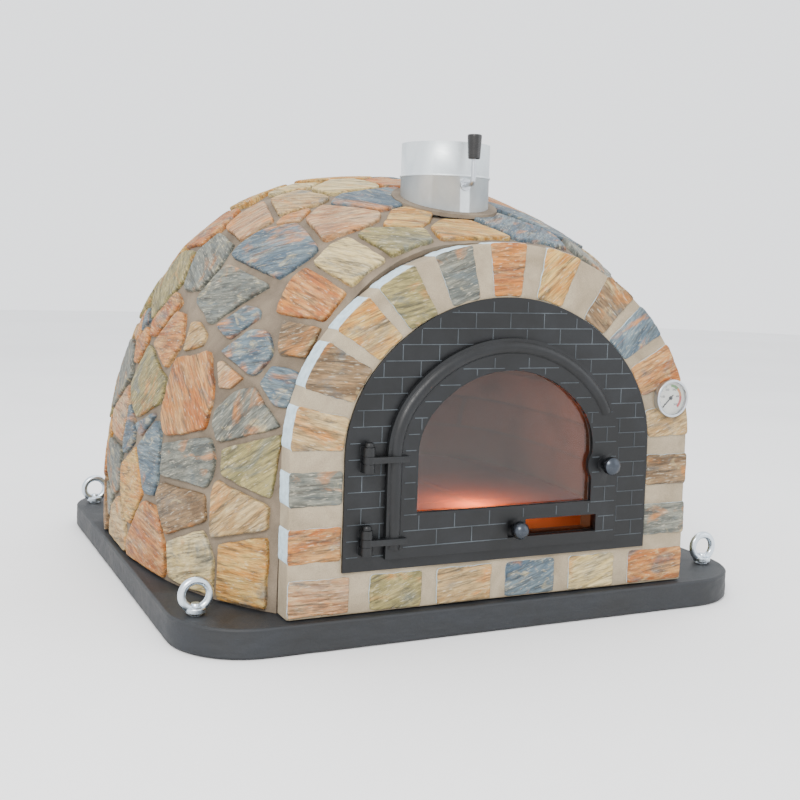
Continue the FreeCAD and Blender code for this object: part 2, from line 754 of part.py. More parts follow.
def door_leaf():
    """The cast leaf: plate, bead, latch boss, hinge arms and knuckles."""
    plate = LEAF_ARCH.solid(LEAF_Y, LEAF_BACK_Y)
    parts = [plate] + bead()
    parts.append(rod_y(LATCH_NECK_R + 5, LATCH_X, LATCH_Z, LEAF_Y - LATCH_PAD, LEAF_BACK_Y))
    for z in HINGE_Z:
        low, high = z - KNUCKLE_H / 2, z + KNUCKLE_H / 2
        parts.append(rod_z(KNUCKLE_R, HINGE_X, HINGE_Y, low, high))
        front = HINGE_Y - ARM_THICK
        parts.append(box(HINGE_X, HINGE_X + ARM_REACH, front, LEAF_Y + 1, low + 1, high - 1))
    leaf = fuse_all(parts)
    leaf = leaf.cut(window_space())
    leaf = leaf.cut(box(SLOT_X0, SLOT_X1, LEAF_Y - 20, LEAF_BACK_Y + 1, SLOT_Z0, SLOT_Z1))
    leaf = leaf.cut(group(pin_holes(PIN_R + RUNNING)))
    leaf = leaf.cut(rod_y(LATCH_SPINDLE_R + RUNNING, LATCH_X, LATCH_Z, LEAF_Y - 20, LEAF_BACK_Y + 1))
    outer, inner = rope_ring()
    y0, y1 = LEAF_BACK_Y - ROPE_GROOVE, LEAF_BACK_Y + 1
    leaf = leaf.cut(outer.solid(y0, y1).cut(inner.solid(y0 - 1, y1 + 1)))
    screws = [at_clip(clip_screw(), p) for p in clip_places()] + rail_screws()
    return leaf.cut(group(screws))


def door_glass():
    """The flat glass behind the window."""
    y = LEAF_BACK_Y + SEAL_THICK
    return GLASS_ARCH.solid(y, y + GLASS_THICK)


def glass_seal():
    """The flat seal between glass and leaf."""
    y = LEAF_BACK_Y
    ring = GLASS_ARCH.solid(y, y + SEAL_THICK)
    return ring.cut(window_space()).cut(WINDOW_ARCH.solid(y - 1, y + SEAL_THICK + 1))


# ---- latch ---------------------------------------------------------------
def latch_knob():
    """The turned knob on the latch spindle."""
    y0 = LEAF_Y - LATCH_PAD - TONGUE_GAP
    end = y0 - LATCH_KNOB_LENGTH
    dome = LATCH_KNOB_R * 0.45
    points = [Vector(LATCH_SPINDLE_R, y0, 0), Vector(LATCH_NECK_R, y0, 0),
              Vector(LATCH_NECK_R, y0 - 5, 0), Vector(LATCH_KNOB_R - 1, y0 - 10, 0),
              Vector(LATCH_KNOB_R, y0 - 12, 0), Vector(LATCH_KNOB_R, end + dome, 0)]
    edges = [Part.makeLine(a, b) for a, b in zip(points, points[1:])]
    tip = Vector(0, end, 0)
    cap_r = (LATCH_KNOB_R ** 2 + dome ** 2) / (2 * dome)
    half = math.asin(LATCH_KNOB_R / cap_r) / 2
    middle = Vector(cap_r * math.sin(half), end + cap_r * (1 - math.cos(half)), 0)
    edges.append(Part.Arc(points[-1], middle, tip).toShape())
    seat = y0 - LATCH_SEAT
    floor = Vector(0, seat, 0)
    corner = Vector(LATCH_SPINDLE_R, seat, 0)
    edges += [Part.makeLine(tip, floor), Part.makeLine(floor, corner), Part.makeLine(corner, points[0])]
    knob = Part.Face(Part.Wire(edges)).revolve(Vector(0, 0, 0), AXIS_Y, 360)
    knob.translate(Vector(LATCH_X, 0, LATCH_Z))
    return knob


def latch_spindle():
    """The spindle through the leaf."""
    y0 = LEAF_Y - LATCH_PAD - TONGUE_GAP - LATCH_SEAT
    y1 = FRAME_BACK_Y + TONGUE_GAP + TONGUE_THICK + LATCH_NUT
    return rod_y(LATCH_SPINDLE_R, LATCH_X, LATCH_Z, y0, y1)


def latch_tongue():
    """The tongue, hanging down from the spindle when unlatched."""
    y0 = FRAME_BACK_Y + TONGUE_GAP
    y1 = y0 + TONGUE_THICK
    half = TONGUE_WIDTH / 2
    arm = box(LATCH_X - half, LATCH_X + half, y0, y1, LATCH_Z - TONGUE_REACH, LATCH_Z)
    hub = rod_y(LATCH_NUT_R, LATCH_X, LATCH_Z, LEAF_BACK_Y + TONGUE_GAP, y1)
    body = fuse_all([arm, hub])
    return body.cut(rod_y(LATCH_SPINDLE_R, LATCH_X, LATCH_Z, LEAF_BACK_Y, y1 + 1))


def latch_nut():
    """The hexagon nut that holds the tongue."""
    y0 = FRAME_BACK_Y + TONGUE_GAP + TONGUE_THICK
    corners = [Vector(LATCH_X + LATCH_NUT_R * math.cos(math.radians(60 * i)), y0,
                      LATCH_Z + LATCH_NUT_R * math.sin(math.radians(60 * i))) for i in range(7)]
    nut = prism(Part.makePolygon(corners), LATCH_NUT)
    return nut.cut(rod_y(LATCH_SPINDLE_R, LATCH_X, LATCH_Z, y0 - 1, y0 + LATCH_NUT + 1))


# ---- shutter -------------------------------------------------------------
def shutter_middle_z():
    """The height of the slot's middle."""
    return (SLOT_Z0 + SLOT_Z1) / 2


def air_shutter():
    """The sliding plate behind the air slot."""
    x0, x1, z0, z1 = shutter_box()
    y0 = LEAF_BACK_Y + SHUTTER_GAP
    plate = box(x0, x1, y0, y0 + SHUTTER_THICK, z0, z1)
    z = shutter_middle_z()
    return plate.cut(rod_y(SHUTTER_STEM_R, SHUTTER_KNOB_X, z, y0 - 1, y0 + SHUTTER_THICK + 1))


def shutter_knob():
    """The ball knob with its stem through the slot."""
    z = shutter_middle_z()
    middle = LEAF_Y - SHUTTER_KNOB_PROUD + SHUTTER_KNOB_R * 0.75
    ball = Part.makeSphere(SHUTTER_KNOB_R, Vector(SHUTTER_KNOB_X, middle - 1, z))
    ball = ball.common(box(-FAR, FAR, -FAR, LEAF_Y - SHUTTER_GAP, 0, FAR))
    back = LEAF_BACK_Y + SHUTTER_GAP + SHUTTER_THICK
    stem = rod_y(SHUTTER_STEM_R, SHUTTER_KNOB_X, z, middle, back)
    return fuse_all([ball, stem])


# ---- flue and damper -----------------------------------------------------
def rod_walls():
    """The outer Y of the two pipe walls that the rod meets."""
    return FLUE_Y - FLUE_R, FLUE_Y + FLUE_R


def flue_pipe():
    """The round steel pipe with a swaged bead."""
    pipe = rod_z(FLUE_R, 0, FLUE_Y, FLUE_BOTTOM_Z, FLUE_TOP_Z)
    ring = Part.makeTorus(FLUE_R - FLUE_BEAD_SINK, FLUE_BEAD_R, Vector(0, FLUE_Y, FLUE_BEAD_Z), AXIS_Z)
    pipe = fuse_all([pipe, ring])
    pipe = pipe.cut(rod_z(FLUE_R - FLUE_WALL, 0, FLUE_Y, FLUE_BOTTOM_Z - 1, FLUE_TOP_Z + 1))
    for y in rod_walls():
        pipe = pipe.cut(rod_y(BUSH_R, 0, DAMPER_Z, y - 10, y + 10))
    return pipe


def damper_bushes():
    """Bushes for the damper rod: flanged outside at the front, inside at the back."""
    front, back = rod_walls()
    pipe = rod_z(FLUE_R, 0, FLUE_Y, FLUE_BOTTOM_Z, FLUE_TOP_Z)
    bore = rod_z(FLUE_R - FLUE_WALL, 0, FLUE_Y, FLUE_BOTTOM_Z, FLUE_TOP_Z)
    front_body = rod_y(BUSH_R, 0, DAMPER_Z, front - BUSH_FLANGE, front + 4)
    front_flange = rod_y(BUSH_FLANGE_R, 0, DAMPER_Z, front - BUSH_FLANGE, front + 2).cut(pipe)
    back_body = rod_y(BUSH_R, 0, DAMPER_Z, back - FLUE_WALL - BUSH_FLANGE, back)
    back_flange = rod_y(BUSH_FLANGE_R, 0, DAMPER_Z, back - FLUE_WALL - BUSH_FLANGE, back).common(bore)
    bushes = [fuse_all([front_body, front_flange]), fuse_all([back_body, back_flange])]
    hole = rod_y(ROD_R + RUNNING, 0, DAMPER_Z, front - 20, back + 20)
    return group([bush.cut(hole) for bush in bushes])


def flue_collar(outer_dome):
    """The mortar skirt round the pipe's foot, which follows the dome's slope."""
    ring = rod_z(FLUE_R + COLLAR_WIDTH, 0, FLUE_Y, FLUE_BOTTOM_Z, FAR)
    ring = ring.cut(rod_z(FLUE_R, 0, FLUE_Y, 0, FAR))
    back = FLUE_Y + FLUE_R
    bush = rod_y(BUSH_R + RUNNING, 0, DAMPER_Z, FLUE_Y, back + BUSH_FLANGE)
    return ring.common(dome_solid(-COLLAR_PROUD)).cut(outer_dome).cut(bush)


def grip_socket_z():
    """The height that the upright rod reaches inside the grip."""
    return DAMPER_Z + GRIP_TOP_RISE - GRIP_LENGTH / 3


def damper_rod():
    """The rod through the pipe, bent up at the front."""
    back = FLUE_Y + FLUE_R
    front = FLUE_Y - FLUE_R - ROD_FRONT
    level = rod_y(ROD_R, 0, DAMPER_Z, front + ROD_BEND_R, back)
    upright = rod_z(ROD_R, 0, front, DAMPER_Z + ROD_BEND_R, grip_socket_z())
    return fuse_all([level, bend_quarter(front), upright])


def bend_quarter(front):
    """The quarter bend between the level and the upright rod."""
    start = Vector(0, front + ROD_BEND_R, DAMPER_Z)
    middle_turn = math.radians(225)
    centre = Vector(0, front + ROD_BEND_R, DAMPER_Z + ROD_BEND_R)
    middle = centre + Vector(0, ROD_BEND_R * math.cos(middle_turn), ROD_BEND_R * math.sin(middle_turn))
    end = Vector(0, front, DAMPER_Z + ROD_BEND_R)
    path = Part.Wire([Part.Arc(start, middle, end).toShape()])
    ring = Part.Wire([Part.makeCircle(ROD_R, start, AXIS_Y)])
    return path.makePipeShell([ring], True, False)


def damper_disc():
    """The disc, edge on to the draught when open."""
    disc = Part.makeCylinder(DAMPER_R, DAMPER_THICK, Vector(-DAMPER_THICK / 2, FLUE_Y, DAMPER_Z), AXIS_X)
    hub = rod_y(ROD_R + 2, 0, DAMPER_Z, FLUE_Y - DAMPER_R + 6, FLUE_Y + DAMPER_R - 6)
    body = fuse_all([disc, hub]).cut(rod_y(ROD_R, 0, DAMPER_Z, FLUE_Y - 2 * FLUE_R, FLUE_Y + 2 * FLUE_R))
    return body.cut(group(damper_studs()))


def damper_studs():
    """Two screws that clamp the disc's hub to the rod."""
    reach = ROD_R + 4
    studs = []
    for y in (FLUE_Y - STUD_OFFSET, FLUE_Y + STUD_OFFSET):
        stud = Part.makeCylinder(STUD_R, reach - ROD_R, Vector(ROD_R, y, DAMPER_Z), AXIS_X)
        studs.append(stud.cut(rod_y(ROD_R, 0, DAMPER_Z, y - 9, y + 9)))
    return studs


def damper_grip():
    """The tapered grip on the upright rod."""
    front = FLUE_Y - FLUE_R - ROD_FRONT
    foot = DAMPER_Z + GRIP_TOP_RISE - GRIP_LENGTH
    grip = Part.makeCone(GRIP_FOOT_R, GRIP_TOP_R, GRIP_LENGTH, Vector(0, front, foot), AXIS_Z)
    ends = [e for e in grip.Edges if isinstance(e.Curve, Part.Circle)]
    grip = grip.makeFillet(GRIP_EDGE, ends)
    return grip.cut(rod_z(ROD_R, 0, front, foot - 1, grip_socket_z()))


# ---- thermometer ---------------------------------------------------------
def gauge_case():
    """The cup that holds the movement and dial."""
    y1 = FRONT_Y
    y0 = y1 - GAUGE_CASE_DEPTH
    cup = rod_y(GAUGE_CASE_R, GAUGE_X, GAUGE_Z, y0, y1)
    cup = cup.cut(rod_y(GAUGE_CASE_R - GAUGE_WALL, GAUGE_X, GAUGE_Z, y0 - 1, y1 - GAUGE_FLOOR))
    return cup.cut(rod_y(NEEDLE_SHAFT_R + RUNNING, GAUGE_X, GAUGE_Z, y0 - 1, y1 - 1))


def gauge_dial():
    """The printed dial plate."""
    y1 = FRONT_Y - GAUGE_FLOOR
    return tube_y(GAUGE_CASE_R - GAUGE_WALL, NEEDLE_SHAFT_R + RUNNING, GAUGE_X, GAUGE_Z,
                  y1 - DIAL_THICK, y1)


def gauge_bezel():
    """The rolled rim that holds the lens."""
    case_front = FRONT_Y - GAUGE_CASE_DEPTH
    y0 = case_front - LENS_THICK - 1.6
    ring = rod_y(BEZEL_R, GAUGE_X, GAUGE_Z, y0, y0 + BEZEL_DEPTH)
    rim = [e for e in ring.Edges if abs(e.BoundBox.YMin - y0) < 0.01 and e.BoundBox.YLength < 0.01]
    ring = ring.makeFillet(BEZEL_EDGE, rim)
    ring = ring.cut(rod_y(BEZEL_LIP_R, GAUGE_X, GAUGE_Z, y0 - 1, y0 + BEZEL_DEPTH + 1))
    return ring.cut(rod_y(GAUGE_CASE_R, GAUGE_X, GAUGE_Z, case_front - LENS_THICK, y0 + BEZEL_DEPTH + 1))


def gauge_lens():
    """The flat glass over the dial."""
    y1 = FRONT_Y - GAUGE_CASE_DEPTH
    return rod_y(GAUGE_CASE_R, GAUGE_X, GAUGE_Z, y1 - LENS_THICK, y1)


def gauge_needle():
    """The needle with its shaft, pointing at the cold end of the scale."""
    y1 = FRONT_Y - GAUGE_FLOOR - DIAL_THICK - 0.6
    y0 = y1 - NEEDLE_THICK
    half = NEEDLE_WIDTH / 2
    blade = box(-half, half, y0, y1, -NEEDLE_TAIL, NEEDLE_LENGTH)
    hub = rod_y(NEEDLE_HUB_R, 0, 0, y0 - 0.8, y1)
    shaft = rod_y(NEEDLE_SHAFT_R, 0, 0, y1 - 0.1, FRONT_Y - 1.2)
    needle = fuse_all([blade, hub, shaft])
    needle.rotate(Vector(0, 0, 0), AXIS_Y, NEEDLE_REST_DEG)
    needle.translate(Vector(GAUGE_X, 0, GAUGE_Z))
    return needle


def gauge_probe():
    """The stem that reaches into the dome's wall."""
    return rod_y(PROBE_R, GAUGE_X, GAUGE_Z, FRONT_Y, FRONT_Y + PROBE_LENGTH)


# ---- all pieces ----------------------------------------------------------
def make_parts():
    """Every node's shape by name."""
    shells, outer, chamber = dome_layers()
    arch_stones, arch_mortar, sill_stones, sill_mortar = front_wall()
    parts = {"base_slab": base_slab(), "lift_sockets": lift_sockets(), "lift_eyes": lift_eyes()}
    parts["floor_board"] = floor_board(chamber)
    parts["floor_tiles"] = floor_tiles(chamber)
    names = ("stone_cladding", "render_coat", "insulation_blanket", "refractory_dome")
    parts.update(zip(names, shells))
    parts["arch_stones"] = arch_stones
    parts["arch_mortar"] = arch_mortar
    parts["sill_stones"] = sill_stones
    parts["sill_mortar"] = sill_mortar
    parts["mouth_arch"] = mouth_arch(chamber)
    parts["door_frame"] = door_frame()
    parts["frame_anchors"] = group(anchor_solids())
    parts["hinge_pins"] = hinge_pins()
    parts["flue_pipe"] = flue_pipe()
    parts["flue_collar"] = flue_collar(outer)
    parts["damper_bushes"] = damper_bushes()
    parts["door_leaf"] = door_leaf()
    parts["door_rope"] = rope_solid()
    parts["door_glass"] = door_glass()
    parts["glass_seal"] = glass_seal()
    parts["glass_clips"] = glass_clips()
    parts["clip_screws"] = group([at_clip(clip_screw(), p) for p in clip_places()])
    parts["shutter_rails"] = shutter_rails()
    parts["rail_screws"] = group(rail_screws())
    parts["latch_knob"] = latch_knob()
    parts["latch_spindle"] = latch_spindle()
    parts["latch_tongue"] = latch_tongue()
    parts["latch_nut"] = latch_nut()
    parts["air_shutter"] = air_shutter()
    parts["shutter_knob"] = shutter_knob()
    parts["damper_rod"] = damper_rod()
    parts["damper_disc"] = damper_disc()
    parts["damper_studs"] = group(damper_studs())
    parts["damper_grip"] = damper_grip()
    parts["thermometer_case"] = gauge_case()
    parts["thermometer_dial"] = gauge_dial()
    parts["thermometer_bezel"] = gauge_bezel()
    parts["thermometer_lens"] = gauge_lens()
    parts["thermometer_needle"] = gauge_needle()
    parts["thermometer_probe"] = gauge_probe()
    return parts


os.makedirs("parts", exist_ok=True)
for name, shape in make_parts().items():
    shape.exportStep("parts/" + name + ".step")
    bounds = shape.BoundBox
    print(f"{name:22s} {len(shape.Solids):3d} solids  valid {shape.isValid()}  "
          f"x {bounds.XMin:.1f}..{bounds.XMax:.1f}  y {bounds.YMin:.1f}..{bounds.YMax:.1f}  "
          f"z {bounds.ZMin:.1f}..{bounds.ZMax:.1f}")
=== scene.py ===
"""Looks of a wood fired oven: split stone over a dome, a cast door, a flue and a slab."""

import json
import logging
import math
import random
from dataclasses import dataclass, field
from enum import Enum
from typing import Callable, Iterable, Sequence

import bmesh
import bpy
import numpy as np
from mathutils import Matrix, Vector, noise
from mathutils.bvhtree import BVHTree


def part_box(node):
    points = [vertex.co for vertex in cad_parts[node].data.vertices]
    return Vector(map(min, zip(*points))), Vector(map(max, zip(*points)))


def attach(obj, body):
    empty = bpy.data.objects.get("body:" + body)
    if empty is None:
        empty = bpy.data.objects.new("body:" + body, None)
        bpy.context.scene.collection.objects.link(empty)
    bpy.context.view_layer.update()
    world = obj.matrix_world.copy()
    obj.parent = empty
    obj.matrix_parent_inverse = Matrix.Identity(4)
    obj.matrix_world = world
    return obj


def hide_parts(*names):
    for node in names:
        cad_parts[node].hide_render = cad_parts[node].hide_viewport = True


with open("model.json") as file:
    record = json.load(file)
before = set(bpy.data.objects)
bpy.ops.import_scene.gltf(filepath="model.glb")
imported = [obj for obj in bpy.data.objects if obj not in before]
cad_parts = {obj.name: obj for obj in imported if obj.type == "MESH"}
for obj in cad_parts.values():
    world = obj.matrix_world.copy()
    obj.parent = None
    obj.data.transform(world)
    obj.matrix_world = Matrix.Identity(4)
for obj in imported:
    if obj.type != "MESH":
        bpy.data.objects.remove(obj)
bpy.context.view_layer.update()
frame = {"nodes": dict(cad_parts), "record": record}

LOG = logging.getLogger("oven")
MM = 0.001
Colour = tuple[float, float, float, float]
Placer = Callable[[float, float], tuple[Vector, Vector]]
BODY_OF = {node: body for body, nodes in frame["record"]["behaviour"]["bodies"].items()
           for node in nodes}
SLOT_OF = {part["node"]: part["material_slot"] for part in frame["record"]["subparts"]}


def tint(red: int, green: int, blue: int) -> Colour:
    """Turns a paint chart's 0 to 255 colour into scene linear values.

    Args:
        red: Red from 0 to 255.
        green: Green from 0 to 255.
        blue: Blue from 0 to 255.

    Returns:
        The linear colour with an alpha of one.
    """
    def linear(value: int) -> float:
        """Turns one channel into a linear share.

        Args:
            value: The channel from 0 to 255.

        Returns:
            The share from 0 to 1.
        """
        share = value / 255
        return share / 12.92 if share <= 0.04045 else ((share + 0.055) / 1.055) ** 2.4
    return linear(red), linear(green), linear(blue), 1.0


class Tone(Enum):
    """The kinds of split stone on the oven, each as a main and a vein colour."""

    TAN = (tint(168, 132, 80), tint(196, 168, 118))
    CREAM = (tint(190, 166, 106), tint(214, 194, 142))
    GOLD = (tint(188, 126, 44), tint(202, 166, 94))
    RUST = (tint(168, 94, 34), tint(196, 146, 86))
    PINK = (tint(174, 122, 78), tint(192, 160, 120))
    BROWN = (tint(108, 82, 52), tint(150, 120, 82))
    OLIVE = (tint(122, 114, 68), tint(158, 144, 90))
    SLATE = (tint(88, 92, 86), tint(134, 134, 120))
    BLUE = (tint(66, 86, 102), tint(112, 128, 134))


class Shade:
    """A material's node tree, with a short call for each kind of node that the finishes use."""

    def __init__(self, name: str) -> None:
        """Starts an empty tree with an output.

        Args:
            name: The material's name.
        """
        self.material = bpy.data.materials.new(name)
        self.material.use_nodes = True
        self.nodes = self.material.node_tree.nodes
        self.links = self.material.node_tree.links
        self.nodes.clear()
        self.out = self.nodes.new("ShaderNodeOutputMaterial")

    def add(self, kind: str, **inputs: object) -> bpy.types.Node:
        """Adds a node and sets or links its inputs.

        Args:
            kind: The node's type without its ShaderNode prefix.
            **inputs: Input names, with underscores for spaces, and values or sockets.

        Returns:
            The new node.
        """
        node = self.nodes.new("ShaderNode" + kind)
        for key, value in inputs.items():
            self.feed(node.inputs[key.replace("_", " ")], value)
        return node

    def feed(self, socket: bpy.types.NodeSocket, value: object) -> None:
        """Links a socket to an input, or sets the input's own value.

        Args:
            socket: The input.
            value: An output socket, or a plain value.
        """
        if isinstance(value, bpy.types.NodeSocket):
            self.links.new(value, socket)
        else:
            socket.default_value = value

    def coords(self) -> bpy.types.NodeSocket:
        """Object coordinates."""
        return self.add("TexCoord").outputs["Object"]

    def attribute(self, name: str) -> bpy.types.Node:
        """The node that reads one of the mesh's own attributes.

        Args:
            name: The attribute's name.

        Returns:
            The node.
        """
        node = self.add("Attribute")
        node.attribute_name = name
        return node

    def stretch(self, vector: bpy.types.NodeSocket, scale: Sequence[float]) -> bpy.types.NodeSocket:
        """Coordinates multiplied by a scale for each axis."""
        return self.add("Mapping", Vector=vector, Scale=tuple(scale)).outputs["Vector"]

    def grain(self, vector: bpy.types.NodeSocket, scale: float, detail: float = 4.0,
              rough: float = 0.6, twist: float = 0.0) -> bpy.types.NodeSocket:
        """Noise from 0 to 1 at one scale.

        Args:
            vector: Coordinates to read.
            scale: Features to the metre.
            detail: Octaves.
            rough: How strong the finer octaves are.
            twist: How far the pattern is bent by itself.

        Returns:
            The noise value's socket.
        """
        node = self.add("TexNoise", Vector=vector, Scale=scale, Detail=detail, Roughness=rough,
                        Distortion=twist)
        return node.outputs["Fac"]

    def spread(self, value: bpy.types.NodeSocket, low: float, high: float,
               to_low: float = 0.0, to_high: float = 1.0) -> bpy.types.NodeSocket:
        """A value moved from one range to another, held at the ends.

        Args:
            value: The value to move.
            low: The range's start.
            high: The range's end.
            to_low: What the start becomes.
            to_high: What the end becomes.

        Returns:
            The moved value's socket.
        """
        node = self.add("MapRange", Value=value, From_Min=low, From_Max=high, To_Min=to_low,
                        To_Max=to_high)
        return node.outputs["Result"]

    def blend(self, share: object, first: object, second: object,
              mode: str = "MIX") -> bpy.types.NodeSocket:
        """Two colours mixed by a share.

        Args:
            share: How much of the second colour shows.
            first: The first colour.
            second: The second colour.
            mode: How they mix.

        Returns:
            The mixed colour's socket.
        """
        node = self.nodes.new("ShaderNodeMix")
        node.data_type, node.blend_type = "RGBA", mode
        self.feed(node.inputs["Factor"], share)
        self.feed(node.inputs[6], first)
        self.feed(node.inputs[7], second)
        return node.outputs[2]

    def sums(self, how: str, first: object, second: object) -> bpy.types.NodeSocket:
        """One arithmetic step on two values.

        Args:
            how: The step's name.
            first: The first value.
            second: The second value.

        Returns:
            The result's socket.
        """
        node = self.nodes.new("ShaderNodeMath")
        node.operation = how
        self.feed(node.inputs[0], first)
        self.feed(node.inputs[1], second)
        return node.outputs[0]

    def bump(self, height: bpy.types.NodeSocket, metres: float, strength: float = 1.0,
             under: bpy.types.NodeSocket | None = None) -> bpy.types.NodeSocket:
        """A surface normal roughened by a height.

        Args:
            height: The height from 0 to 1.
            metres: What a height of 1 stands for.
            strength: How much of it shows.
            under: A normal to start from.

        Returns:
            The normal's socket.
        """
        node = self.add("Bump", Height=height, Distance=metres, Strength=strength)
        if under is not None:
            self.feed(node.inputs["Normal"], under)
        return node.outputs["Normal"]

    def finish(self, **inputs: object) -> bpy.types.Material:
        """Adds the surface shader and returns the material.

        Args:
            **inputs: The shader's inputs, with underscores for spaces.

        Returns:
            The material.
        """
        shader = self.add("BsdfPrincipled", **inputs)
        self.links.new(shader.outputs["BSDF"], self.out.inputs["Surface"])
        return self.material


@dataclass(frozen=True)
class SplitStone:
    """Layered quartzite: veins along the bed, rust and flecks, and pale sawn sides."""

    name: str = "split_stone"
    vein_scale: float = 1.0
    rust: Colour = tint(206, 128, 44)
    blue: Colour = tint(92, 106, 110)
    cream: Colour = tint(216, 196, 140)
    dark: Colour = tint(62, 56, 46)
    fleck: Colour = tint(226, 218, 194)
    sawn: Colour = tint(190, 212, 222)

    def build(self) -> bpy.types.Material:
        """Makes the material.

        Returns:
            The material.
        """
        s = Shade(self.name)
        bed = s.attribute("bed").outputs["Vector"]
        main = s.attribute("main").outputs["Color"]
        vein = s.attribute("vein").outputs["Color"]
        broad = s.grain(s.stretch(bed, (9, 36, 26)), self.vein_scale, 6.0, 0.66, 1.3)
        fine = s.grain(s.stretch(bed, (26, 230, 120)), 1.0, 6.0, 0.72, 0.5)
        patch = s.grain(s.stretch(bed, (9, 17, 14)), 1.0, 5.0, 0.62, 1.4)
        cloud = s.grain(s.stretch(bed, (13, 22, 19)), 1.7, 5.0, 0.66, 1.0)
        colour = s.blend(s.spread(broad, 0.40, 0.60), main, vein)
        warm = s.spread(patch, 0.54, 0.68, 0.0, 0.72)
        colour = s.blend(warm, colour, self.rust)
        colour = s.blend(s.spread(patch, 0.44, 0.30, 0.0, 0.7), colour, self.blue)
        colour = s.blend(s.spread(cloud, 0.57, 0.72, 0.0, 0.6), colour, self.cream)
        streak = s.grain(s.stretch(bed, (15, 150, 90)), 1.0, 5.0, 0.7, 0.8)
        colour = s.blend(s.spread(streak, 0.51, 0.64, 0.0, 0.72), colour, self.dark)
        colour = s.blend(1.0, colour, s.spread(fine, 0.34, 0.6, 0.45, 1.2), "MULTIPLY")
        fleck = s.grain(s.stretch(bed, (80, 400, 300)), 1.0, 2.0, 0.5)
        colour = s.blend(s.spread(fleck, 0.60, 0.72, 0.0, 0.4), colour, self.fleck)
        sawn = s.attribute("sawn").outputs["Fac"]
        colour = s.add("HueSaturation", Color=colour, Saturation=1.0, Value=0.76).outputs["Color"]
        dust = s.grain(s.coords(), 90.0, 4.0)
        pale = s.blend(s.spread(dust, 0.3, 0.7), self.sawn, tint(160, 178, 186))
        colour = s.blend(sawn, colour, pale)
        normal = s.bump(broad, 3.0 * MM, 0.6)
        normal = s.bump(fine, 1.5 * MM, 0.9, normal)
        rough = s.spread(patch, 0.2, 0.8, 0.62, 0.86)
        return s.finish(Base_Color=colour, Roughness=rough, Normal=normal)


@dataclass(frozen=True)
class Mortar:
    """Sandy mortar with lime bloom and trowel marks."""

    name: str
    base: Colour
    light: Colour

    def build(self) -> bpy.types.Material:
        """Makes the material.

        Returns:
            The material.
        """
        s = Shade(self.name)
        here = s.coords()
        cloud = s.grain(here, 14.0, 5.0, 0.6, 0.6)
        sand = s.grain(here, 620.0, 3.0, 0.7)
        colour = s.blend(s.spread(cloud, 0.32, 0.68), self.base, self.light)
        colour = s.blend(1.0, colour, s.spread(sand, 0.25, 0.7, 0.72, 1.08), "MULTIPLY")
        normal = s.bump(s.grain(here, 55.0, 5.0, 0.65), 2.0 * MM, 0.5)
        normal = s.bump(sand, 0.6 * MM, 0.6, normal)
        return s.finish(Base_Color=colour, Roughness=0.92, Normal=normal)


@dataclass(frozen=True)
class CastIron:
    """Stove-blacked casting with a fine sand skin and greyer rubbed patches."""

    name: str
    base: Colour
    worn: Colour
    wear: float = 0.35
    rough: float = 0.5

    def build(self) -> bpy.types.Material:
        """Makes the material.

        Returns:
            The material.
        """
        s = Shade(self.name)
        here = s.coords()
        cloud = s.grain(here, 9.0, 6.0, 0.65, 0.4)
        skin = s.grain(here, 900.0, 2.0, 0.6)
        speck = s.grain(here, 260.0, 4.0, 0.7)
        worn = s.spread(cloud, 0.45, 0.75, 0.0, self.wear)
        colour = s.blend(worn, self.base, self.worn)
        colour = s.blend(s.spread(speck, 0.62, 0.75, 0.0, 0.35), colour, self.worn)
        rough = s.spread(speck, 0.3, 0.7, self.rough - 0.1, self.rough + 0.14)
        normal = s.bump(skin, 0.25 * MM, 0.55)
        normal = s.bump(s.grain(here, 120.0, 4.0), 0.5 * MM, 0.35, normal)
        return s.finish(Base_Color=colour, Roughness=rough, Metallic=0.1, Normal=normal,
                        Specular_IOR_Level=0.4)


@dataclass(frozen=True)
class BrightMetal:
    """Bare or plated metal with drawn lines along one axis."""

    name: str
    base: Colour
    rough: float = 0.3
    lines: tuple[float, float, float] = (60.0, 60.0, 900.0)
    smear: float = 0.25

    def build(self) -> bpy.types.Material:
        """Makes the material.

        Returns:
            The material.
        """
        s = Shade(self.name)
        here = s.coords()
        drawn = s.grain(s.stretch(here, self.lines), 1.0, 3.0, 0.6)
        cloud = s.grain(here, 22.0, 5.0, 0.6, 0.5)
        dark = (self.base[0] * 0.72, self.base[1] * 0.74, self.base[2] * 0.78, 1.0)
        colour = s.blend(s.spread(cloud, 0.35, 0.7, 0.0, self.smear * 2), self.base, dark)
        mark = s.sums("ADD", s.spread(drawn, 0.3, 0.7, -0.05, 0.08), s.spread(cloud, 0.3, 0.7, 0, 0.1))
        rough = s.sums("ADD", mark, self.rough)
        normal = s.bump(drawn, 0.06 * MM, 0.35)
        return s.finish(Base_Color=colour, Roughness=rough, Metallic=1.0, Normal=normal)


@dataclass(frozen=True)
class Galvanised:
    """Dull zinc-coated sheet with soft spangle, lighter than polished metal."""

    name: str
    base: Colour = tint(214, 220, 222)
    spangle: Colour = tint(186, 194, 198)

    def build(self) -> bpy.types.Material:
        """Makes the material.

        Returns:
            The material.
        """
        s = Shade(self.name)
        here = s.coords()
        cloud = s.grain(s.stretch(here, (14, 14, 6)), 1.0, 5.0, 0.6, 0.8)
        drawn = s.grain(s.stretch(here, (40, 40, 700)), 1.0, 3.0, 0.6)
        colour = s.blend(s.spread(cloud, 0.35, 0.7), self.base, self.spangle)
        rough = s.spread(drawn, 0.3, 0.7, 0.38, 0.52)
        normal = s.bump(drawn, 0.08 * MM, 0.4)
        return s.finish(Base_Color=colour, Roughness=rough, Metallic=0.55, Normal=normal)


